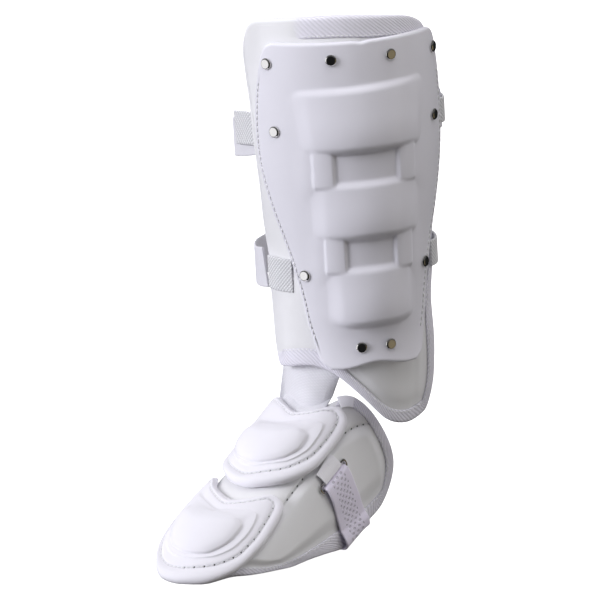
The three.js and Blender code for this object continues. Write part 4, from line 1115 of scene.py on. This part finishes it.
# pads on the foot: nested outlines of dome, raised field, sewn groove and rolled rim, as (forward, degrees)
pads = {
    "seat": 1.5, "around": 288,
    # ring: 0 middle, 1 dome's foot, 2 field's edge, 3 sewn groove, 4 rim; height, scaled to the crown
    "profile": [(0, 12.2), (0.35, 11.9), (0.65, 11.1), (0.88, 9.7), (0.98, 8.1), (1.07, 6.7), (1.2, 6.15),
                (1.75, 6.3), (1.93, 6.3), (2.04, 5.7), (2.2, 5.4), (2.65, 5.4), (2.85, 5.1), (3, 4.5),
                (3.13, 4.9), (3.35, 5.7), (3.6, 6), (3.78, 5.6), (3.91, 4.6), (3.98, 3.4), (4, 2.4)],
    # the same along the upper edge, where dome and rim run out softly
    "topProfile": [(0, 12.2), (0.3, 11.95), (0.6, 11.1), (1, 9.3), (1.5, 7.4), (1.9, 6.5), (2.04, 5.8),
                   (2.2, 5.4), (2.65, 5.3), (2.85, 5.1), (3, 4.6), (3.15, 5), (3.4, 4.9), (3.7, 3.8),
                   (4, 1.8)],
    "topEnds": (0.07, 0.2),  # shares of the way round, from the upper edge's middle, over which it changes
    # rows of points on top: from ring, to ring, count
    "rows": [(0.04, 0.8, 15), (0.84, 1.2, 12), (1.26, 1.86, 9), (1.9, 2.25, 11), (2.32, 2.78, 7),
             (2.82, 3.2, 14), (3.25, 3.8, 11), (3.85, 3.93, 3), (3.96, 3.96, 1), (3.985, 4, 2)],
    # rows underneath: ring, height
    "under": [(4, 1.2), (3.985, 0.6), (3.95, 0.2), (3.85, 0), (3.4, 0), (2.4, 0), (1.2, 0), (0.1, 0)],
    "holeShade": (0.2, 0.26, 0.47, 0.55),  # shares of the way round between which the needle holes get their painted shade
    "fieldFoot": 2.05, "grooveHalf": 1.4, "noStitch": 9,  # noStitch: distance given underneath
    "sewnLevel": 4, "sewnAt": 4.55, "sewnLift": 0.15,  # heights by which the stitches are counted and laid
    "stitchLong": 0.66, "stitchThick": 0.8,  # length as a share of the pitch, thickness
    "instep": {
        "crown": 12.8, "middle": (93, -4),
        "rim": [(63, 0), (58.5, 18), (50, 29), (45.5, 36), (48, 43), (68, 44), (91, 42), (113, 33),
                (125.5, 17), (128, 0), (124, -18), (110, -34), (84, -39), (57, -40), (48.5, -35),
                (57, -20)],
        "stitch": [(67, 0), (63, 18), (55, 28.5), (51.5, 33.5), (54, 37.3), (69, 38.3), (88, 36.3),
                   (106, 28), (116, 14), (120, -1), (116, -18), (106, -31), (86, -36.5), (63, -37),
                   (55, -32), (61, -18.5)],
        "field": [(75.5, 0), (71.5, 14), (67, 25), (64, 30.5), (65, 33), (75, 34), (87, 33), (101, 27),
                  (110, 14), (114, 0), (110.5, -17), (102, -29), (88, -34.5), (77, -34), (74.5, -30),
                  (77, -15)],
        "dome": [(80, 0), (78.5, 14), (77.5, 22), (77.5, 26.5), (80, 28.6), (85.5, 29.3), (92, 28.3),
                 (101, 23.5), (108, 13), (110.5, -1), (108.5, -16), (101, -27), (92, -32), (84.5, -31.5),
                 (81.5, -26), (81, -14)],
    },
    "toe": {
        "crown": 11.4, "middle": (171, 0),
        "rim": [(140, 3), (136, 18), (128, 28), (123, 35), (124, 43.5), (143, 48), (161, 50), (181, 50.5),
                (199, 43.5), (209, 26), (211, 6), (207, -12), (195, -25), (179, -33), (152, -38),
                (127, -38.5), (120, -34), (133, -20)],
        "stitch": [(146, 3), (142, 18), (135, 27), (129, 33), (130, 38), (144, 41), (159, 43), (174, 43),
                   (189, 36.5), (199, 22), (202, 4), (198.5, -13), (188, -25), (174, -31.5), (152, -35.5),
                   (133.5, -35), (127.5, -31), (138, -19)],
        "field": [(153, 3), (150, 17), (146, 27), (143, 32), (144.5, 35), (154, 37.5), (164, 38.3),
                  (174, 37.5), (185, 32), (192.5, 20), (195, 4), (191.5, -12), (183, -22.5), (171.5, -29),
                  (156, -32.5), (144.5, -31.5), (141.5, -27.5), (147.5, -16.5)],
        "dome": [(157.5, 3), (156.5, 16), (155.5, 25), (155.5, 29), (157.5, 31.7), (163, 32.8), (170, 33),
                 (177, 31.5), (185, 27), (189.5, 17), (190.5, 4), (187.5, -11), (181, -20), (172, -26),
                 (163, -28.5), (158, -27), (156.5, -21), (157, -10)],
    },
}


def outline(points, t):
    # closed smooth line through points, t from 0 to 1 round it
    place = np.arange(-2, len(points) + 3)
    lines = columns(np.column_stack([place, np.array(points, float)[place % len(points)]]))
    return np.stack([line(t * len(points)) for line in lines], -1)


def addPad(name, size, node):
    # rows of points run round the pad at steady shares between its outlines, over the top and back underneath
    t = np.linspace(0, 1, pads["around"] + 1)[:-1]
    middle = np.broadcast_to(np.array(size["middle"], float), t.shape + (2,))
    rings = np.stack([middle] + [outline(size[key], t) for key in ("dome", "field", "stitch", "rim")])
    top = np.concatenate([np.linspace(*row) for row in pads["rows"]])
    under, underHeight = np.array(pads["under"]).T
    topness = 1 - ease(np.minimum(t, 1 - t), *pads["topEnds"])
    scale = size["crown"] / pads["profile"][0][1]
    around, upper = (curve(pads[key])(top)[:, None] for key in ("profile", "topProfile"))
    heights = np.concatenate([lerp(around, upper, topness) * scale, underHeight[:, None] + 0 * topness])
    place = np.concatenate([top, under])
    i = np.clip(place.astype(int), 0, 3)
    spot = lerp(rings[i], rings[i + 1], (place - i)[:, None, None])
    grid = onFoot(spot[..., 0], spot[..., 1], pads["seat"] + heights)
    sewn = onFoot(*rings[3].T, pads["seat"] + pads["sewnLevel"])
    along = arc(np.concatenate([sewn, sewn[:1]]))
    pitch = along[-1] / np.round(along[-1] / padFinish["pitch"])
    across = np.append(0, lengths(grid, 0).mean(1).cumsum())
    uv = pairs(along * padFinish["pitch"] / pitch, across[:, None])
    # signed distance from the sewn groove, on the top face only, by the widths from the field's foot to the
    # groove and from the groove to the rim
    rows = (top.searchsorted(pads["fieldFoot"]), len(top) - 1)
    inside, beyond = (np.linalg.norm(grid[row] - sewn, axis=-1) for row in rows)
    stitchOff = (place - 3)[:, None] * np.where(place[:, None] < 3, inside, beyond)
    stitchOff[len(top):] = pads["noStitch"]
    tags = {"stitchOff": stitchOff, "groove": 1 - ease(np.abs(stitchOff), 0, pads["grooveHalf"]),
            "holeShade": between(t, *pads["holeShade"])}
    piece = addTube(name, grid, [mouldedPad], uv, ends="disc", tags=tags)
    standFor(piece, "pad", node)
    line = np.concatenate([rings[3], rings[3, :1]])
    low = pads["seat"] + pads["sewnAt"] * scale + pads["sewnLift"]
    size = (pitch, pitch * pads["stitchLong"], pads["stitchThick"])
    standFor(sewAlong(name + "Stitches", onFoot, line, low, *size), "pad")


addPad("instepPad", pads["instep"], "instep_pad")
addPad("toePad", pads["toe"], "toe_pad")
print("pads: 2")

# elastic web from the shell down under the instep pad
web = {
    "top": -114, "from": -99, "to": -22, "inside": 9.6,  # upper edge: height, degrees, depth in the shell
    "lowFrom": -42, "lowTo": 25, "before": 3, "off": 0.7,  # lower edge: degrees, reach past the cover, height
    "tuck": 9, "thick": 1.0,
}
t = np.linspace(0, 1, 90)
topTurn = np.radians(lerp(web["from"], web["to"], t))
webTop = onShell(legRadius(web["top"]) * topTurn, web["top"], -web["inside"])
webPsi = lerp(web["lowFrom"], web["lowTo"], t)
webStart = coverAnkle(webPsi) - web["before"]
hang = lerp(webTop, onFoot(webStart, webPsi, web["off"]), np.linspace(0, 1, 60)[:, None, None])
tuck = np.linspace(0, 1, 15)[1:, None]
lap = onFoot(webStart + tuck * (web["tuck"] + web["before"]), webPsi, web["off"])
webMid = np.concatenate([hang, lap])
webHalf = unit(np.cross(np.gradient(webMid, axis=1), np.gradient(webMid, axis=0))) * web["thick"] / 2
ankleWeb = addTube("ankleWeb", bothFaces(webMid + webHalf, webMid - webHalf), [elasticWeb], bothUv(webMid))
standFor(ankleWeb, "elastic", "ankle_web")

# ring on the inner side, the ribbon loop above it and the strap below it
ring = {
    "forward": 71.5, "psi": 52.5, "lean": np.radians(27), "lift": 3.6,  # where it lies on the foot
    "long": 33, "span": 5.6, "wire": 1.9, "corner": 2.2, "around": 160, "sides": 14,
}
ringNormal = unit(np.cross(*footSteps(ring["forward"], ring["psi"])))
barWay = square(footForward * np.cos(ring["lean"]) - upWay * np.sin(ring["lean"]), ringNormal)
downWay = unit(np.cross(ringNormal, barWay))
downWay = -np.sign(downWay[2]) * downWay
barStep, downStep = (footWay(ring["forward"], ring["psi"], way) for way in (barWay, downWay))


def nearRing(bar, along, off):
    # millimetres along the ring's bar and down the strap, from the ring's middle
    forward = ring["forward"] + bar * barStep[0] + along * downStep[0]
    return onFoot(forward, ring["psi"] + bar * barStep[1] + along * downStep[1], off)


# rounded oblong: straight sides joined by quarter circles, followed by its length
turn = np.linspace(0, 2 * np.pi, 400, endpoint=False)
circle = pairs(np.cos(turn), np.sin(turn))
corners = np.sign(circle) * (np.array([ring["long"], ring["span"]]) / 2 - ring["corner"])
oblong = corners + ring["corner"] * circle
oblong = np.concatenate([oblong, oblong[:1]])
ringFar = np.linspace(0, arc(oblong)[-1], ring["around"] + 1)
ringLine = follow(oblong, arc(oblong), ringFar[:-1])
ringWay = np.roll(ringLine, -1, 0) - np.roll(ringLine, 1, 0)
ringOut = unit(pairs(ringWay[:, 1], -ringWay[:, 0]))
wireTurn = np.linspace(0, 2 * np.pi, ring["sides"] + 1)
wire = pairs(np.cos(wireTurn), np.sin(wireTurn))[:-1] * ring["wire"] / 2
spot = ringLine[:, None] + ringOut[:, None] * wire[None, :, :1]
ringGrid = nearRing(spot[..., 0], spot[..., 1], ring["lift"] + wire[:, 1])
ringUv = pairs(ringFar[:, None], wireTurn * ring["wire"] / 2)
standFor(addTube("strapRing", ringGrid, [platedMetal], ringUv, looped=True), "chrome", "strap_ring")


def smoothPath(points, count):
    # smooth line through points, followed evenly by length; where its points lie along the given ones, and
    # how far along those are
    far = arc(points)
    fine = np.linspace(0, far[-1], 3000)
    dense = np.stack([line(fine) for line in columns(np.column_stack([far, points]))], -1)
    reach = arc(dense)
    even = np.linspace(0, reach[-1], count)
    return follow(dense, reach, even), np.interp(even, reach, fine), far


def foldAtRing(rows, side):
    # a fold round one of the ring's bars: along the strap from the bar's middle, off the foot from it
    along, off = np.array(rows).T
    return nearRing(0, along + side * ring["span"] / 2, off + ring["lift"])


loopRibbon = {
    "width": 22, "thick": 0.8,
    "fold": [(-11, -0.6), (-7, 0.9), (-3, 1.6), (0, 1.7), (1.2, 1.2), (1.7, 0), (1.2, -1.2), (0, -1.7),
             (-5, -2.1), (-10, -2.5)],
}
path = smoothPath(foldAtRing(loopRibbon["fold"], -1), 120)[0]
ringTab = addStrip("ringTab", path, barWay, loopRibbon["width"], loopRibbon["thick"], satinRibbon, 30)
standFor(ringTab, "ribbon", "ring_tab")

strap = {
    "width": 28, "thick": 1.8, "off": 4.2,
    "fold": [(9, -1.9), (3, -2.4), (0, -2.5), (-1.8, -1.8), (-2.5, 0), (-1.8, 1.8), (0, 2.5), (4, 2.5),
             (9, 2)],
    # forward, degrees round the foot, lean of its width
    "inner": [(61.2, 65.6, 25), (57.2, 71.4, 26)],
    # forward, towards the inner side, up, lean
    "sole": [(55.4, 45.5, 33.5, 27), (54.4, 45.5, 28.5, 27), (53.5, 42.5, 25.5, 27), (53, 36, 24, 26),
             (53, 26, 21.5, 20), (53, 10, 18.5, 10), (54, -15, 17, 4), (54.7, -36, 17.3, 0),
             (55.2, -43.5, 19, 0), (56, -48.5, 23, 0), (57.5, -51.5, 30, 0), (60, -52, 43, 4)],
    "outer": [(66, -58, 12), (70, -51, 18), (75, -42, 22)],
}
strapTop = foldAtRing(strap["fold"], 1)
inner, sole, outer = (np.array(strap[key]).T for key in ("inner", "sole", "outer"))
strapLow = [onFoot(*inner[:2], strap["off"]), inFoot(*sole[:3]), onFoot(*outer[:2], strap["off"])]
lean = np.radians(np.concatenate([inner[2], sole[3], outer[2]]))[:, None]
lowWays = np.cos(lean) * footForward - np.sin(lean) * upWay
ways = np.concatenate([np.broadcast_to(barWay, strapTop.shape), lowWays])
path, at, far = smoothPath(np.concatenate([strapTop] + strapLow), 420)
across = follow(ways, far, at)
footStrap = addStrip("footStrap", path, across, strap["width"], strap["thick"], pressedStrap, 40)
standFor(footStrap, "elastic", "foot_strap")

# satin end over the foot tape
satinEnd = {"from": 28.5, "to": 38, "reach": 7.8, "low": 1.5, "thick": 0.8}
v, u = crossed(np.linspace(0, 1, 24), np.linspace(0, 1, 24))
psi = lerp(satinEnd["from"], satinEnd["to"], u)
here = coverAnkle(psi)
along, around = footSteps(here, psi)
edgeWay = unit(along * (coverAnkle(psi - 1) - coverAnkle(psi + 1))[..., None] - 2 * around)
inStep = footWay(here, psi, np.cross(unit(np.cross(along, around)), edgeWay))
forward, psi = (place + step * v * satinEnd["reach"] for place, step in zip((here, psi), inStep))
lower, upper = (onFoot(forward, psi, satinEnd["low"] + k * satinEnd["thick"]) for k in (0, 1))
standFor(addTube("tapeEnd", bothFaces(upper, lower), [satinRibbon], bothUv(upper)), "ribbon", "binding_end")
print("ring, ribbon, strap and tape end")

# camera at the photograph's angle
view = {
    "azimuth": np.radians(-15), "elevation": np.radians(15), "roll": np.radians(3.2), "distance": 2500,
    "pixels": 600, "perPixel": 0.743, "origin": (338.6, 183.8),  # size, millimetres a pixel, frame's origin
    "sensor": 36,
}
level = np.array([np.cos(view["azimuth"]), np.sin(view["azimuth"]), 0])
backWay = np.cross(level, upWay) * np.cos(view["elevation"]) + upWay * np.sin(view["elevation"])
plumb = np.cross(backWay, level)
rightWay = level * np.cos(view["roll"]) - plumb * np.sin(view["roll"])
topWay = level * np.sin(view["roll"]) + plumb * np.cos(view["roll"])
shiftX, shiftY = (np.array(view["origin"]) - view["pixels"] / 2) * view["perPixel"]
target = topWay * shiftY - rightWay * shiftX
lens = bpy.data.cameras.new("photoLens")
lens.sensor_width = view["sensor"]
lens.lens = view["sensor"] * view["distance"] / (view["pixels"] * view["perPixel"])


def poseFrom(right, top, back, place):
    # place in metres, and the three ways an object's own axes point
    pose = np.eye(4)
    pose[:3] = np.stack([right, top, back, place], 1)
    return pose


cameraPlace = (target + backWay * view["distance"]) * metre
bpy.context.scene.camera = putObject("photoCamera", lens, poseFrom(rightWay, topWay, backWay, cameraPlace))
bpy.context.scene.view_settings.view_transform = "Standard"

# studio: pale floor, a soft key from the left, fills from above, right and behind, small boxes near the top
# in front and by the foot, in a room that is white on the left, brown at the right front and dark elsewhere
studio = {
    "floor": 0.93, "floorGlow": 0.85, "floorReach": 30, "floorGap": 0.0002,
    # direction, strength, spread in degrees, colour
    "suns": {
        "keyLeft": ((-0.9, -0.17, 0.4), 2.3, 30, (0.95, 0.955, 1)),
        "fillTop": ((0.12, -0.08, 0.99), 0.9, 50, (1, 1, 1)),
        "fillRight": ((0.98, -0.1, 0.08), 1.4, 60, (1, 1, 1)),
        "fillBack": ((0.1, 0.9, 0.45), 1.1, 120, (1, 1, 1)),
    },
    # place, direction, watts and size
    "boxes": {
        "boxHigh": ((0, -0.24, 0.27), (0, -0.24, 0.27), 0.25, 0.25),
        "boxLow": ((0.06, -0.32, -0.2), (0.1, -0.23, 0), 0.07, 0.1),
    },
    "roomDark": 0.012, "roomAbove": 0.1, "roomTint": (0.98, 0.98, 1.02), "roomWarm": (0.2, 0.165, 0.1),
    # bounds of a direction and their softness: white left, grey above, warm patch in X, Y and Z
    "left": (-0.84, 0.12), "above": (0.35, 0.5), "patch": ((0.42, 0.2), (-0.3, 0.3), (0.1, 0.3)),
}
bpy.context.view_layer.update()
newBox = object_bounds()
floorMesh = bpy.data.meshes.new("studioFloor")
floorAt = newBox[0][2] - studio["floorGap"]
reach = studio["floorReach"]
corners = [(x * reach, y * reach, floorAt) for x, y in ((-1, -1), (1, -1), (1, 1), (-1, 1))]
floorMesh.from_pydata(corners, [], [(0, 1, 2, 3)])
floor = putObject("studioFloor", floorMesh)
floorLook = Look("paleFloor", {"Base Color": shade((1, 1, 1), studio["floor"]), "Roughness": 0.9,
                               "Emission Color": (1, 1, 1, 1), "Emission Strength": studio["floorGlow"]})
floorMesh.materials.append(floorLook.owner)
floor.visible_diffuse = floor.visible_glossy = False


def addLight(name, kind, toward, place):
    # lights shine along their own -Z, so +Z points the way the light comes from
    away = unit(np.array(toward))
    sideways = unit(np.cross(upWay, away))
    pose = poseFrom(sideways, np.cross(away, sideways), away, place)
    held = putObject(name, bpy.data.lights.new(name, kind), pose)
    held.visible_glossy = False
    return held


for name, (toward, strength, spread, colour) in studio["suns"].items():
    sun = addLight(name, "SUN", toward, (0, 0, 2))
    sun.data.energy, sun.data.angle, sun.data.color = strength, np.radians(spread), colour
for name, (place, toward, watts, size) in studio["boxes"].items():
    box = addLight(name, "AREA", toward, place)
    box.data.energy, box.data.size = watts, size
    box.visible_camera = False

room = Look("studioRoom", {"Strength": 1.0}, room=True)
toward = room.node("ShaderNodeTexCoord", out="Generated")
x, y, z = (room.node("ShaderNodeSeparateXYZ", None, {0: toward}, k) for k in range(3))
overhead = 1 - z.below(*studio["above"])
inX, inY, inZ = (way.below(*bound) for way, bound in zip((x, y, z), studio["patch"]))
warmPatch = (1 - inX) * inY * inZ
glow = x.below(*studio["left"]) + overhead * studio["roomAbove"] + studio["roomDark"]
tinted = {k: glow * tint for k, tint in enumerate(studio["roomTint"])}
grey = room.node("ShaderNodeCombineColor", None, tinted)
tone = room.mix(warmPatch, (0, 0, 0, 1), shade(studio["roomWarm"]))
sky = room.node("ShaderNodeMix", {"data_type": "RGBA", "blend_type": "ADD"}, {0: 1.0, 6: grey, 7: tone}, 2)
bpy.context.scene.world = room.feed({"Color": sky})
print("camera, floor and light")
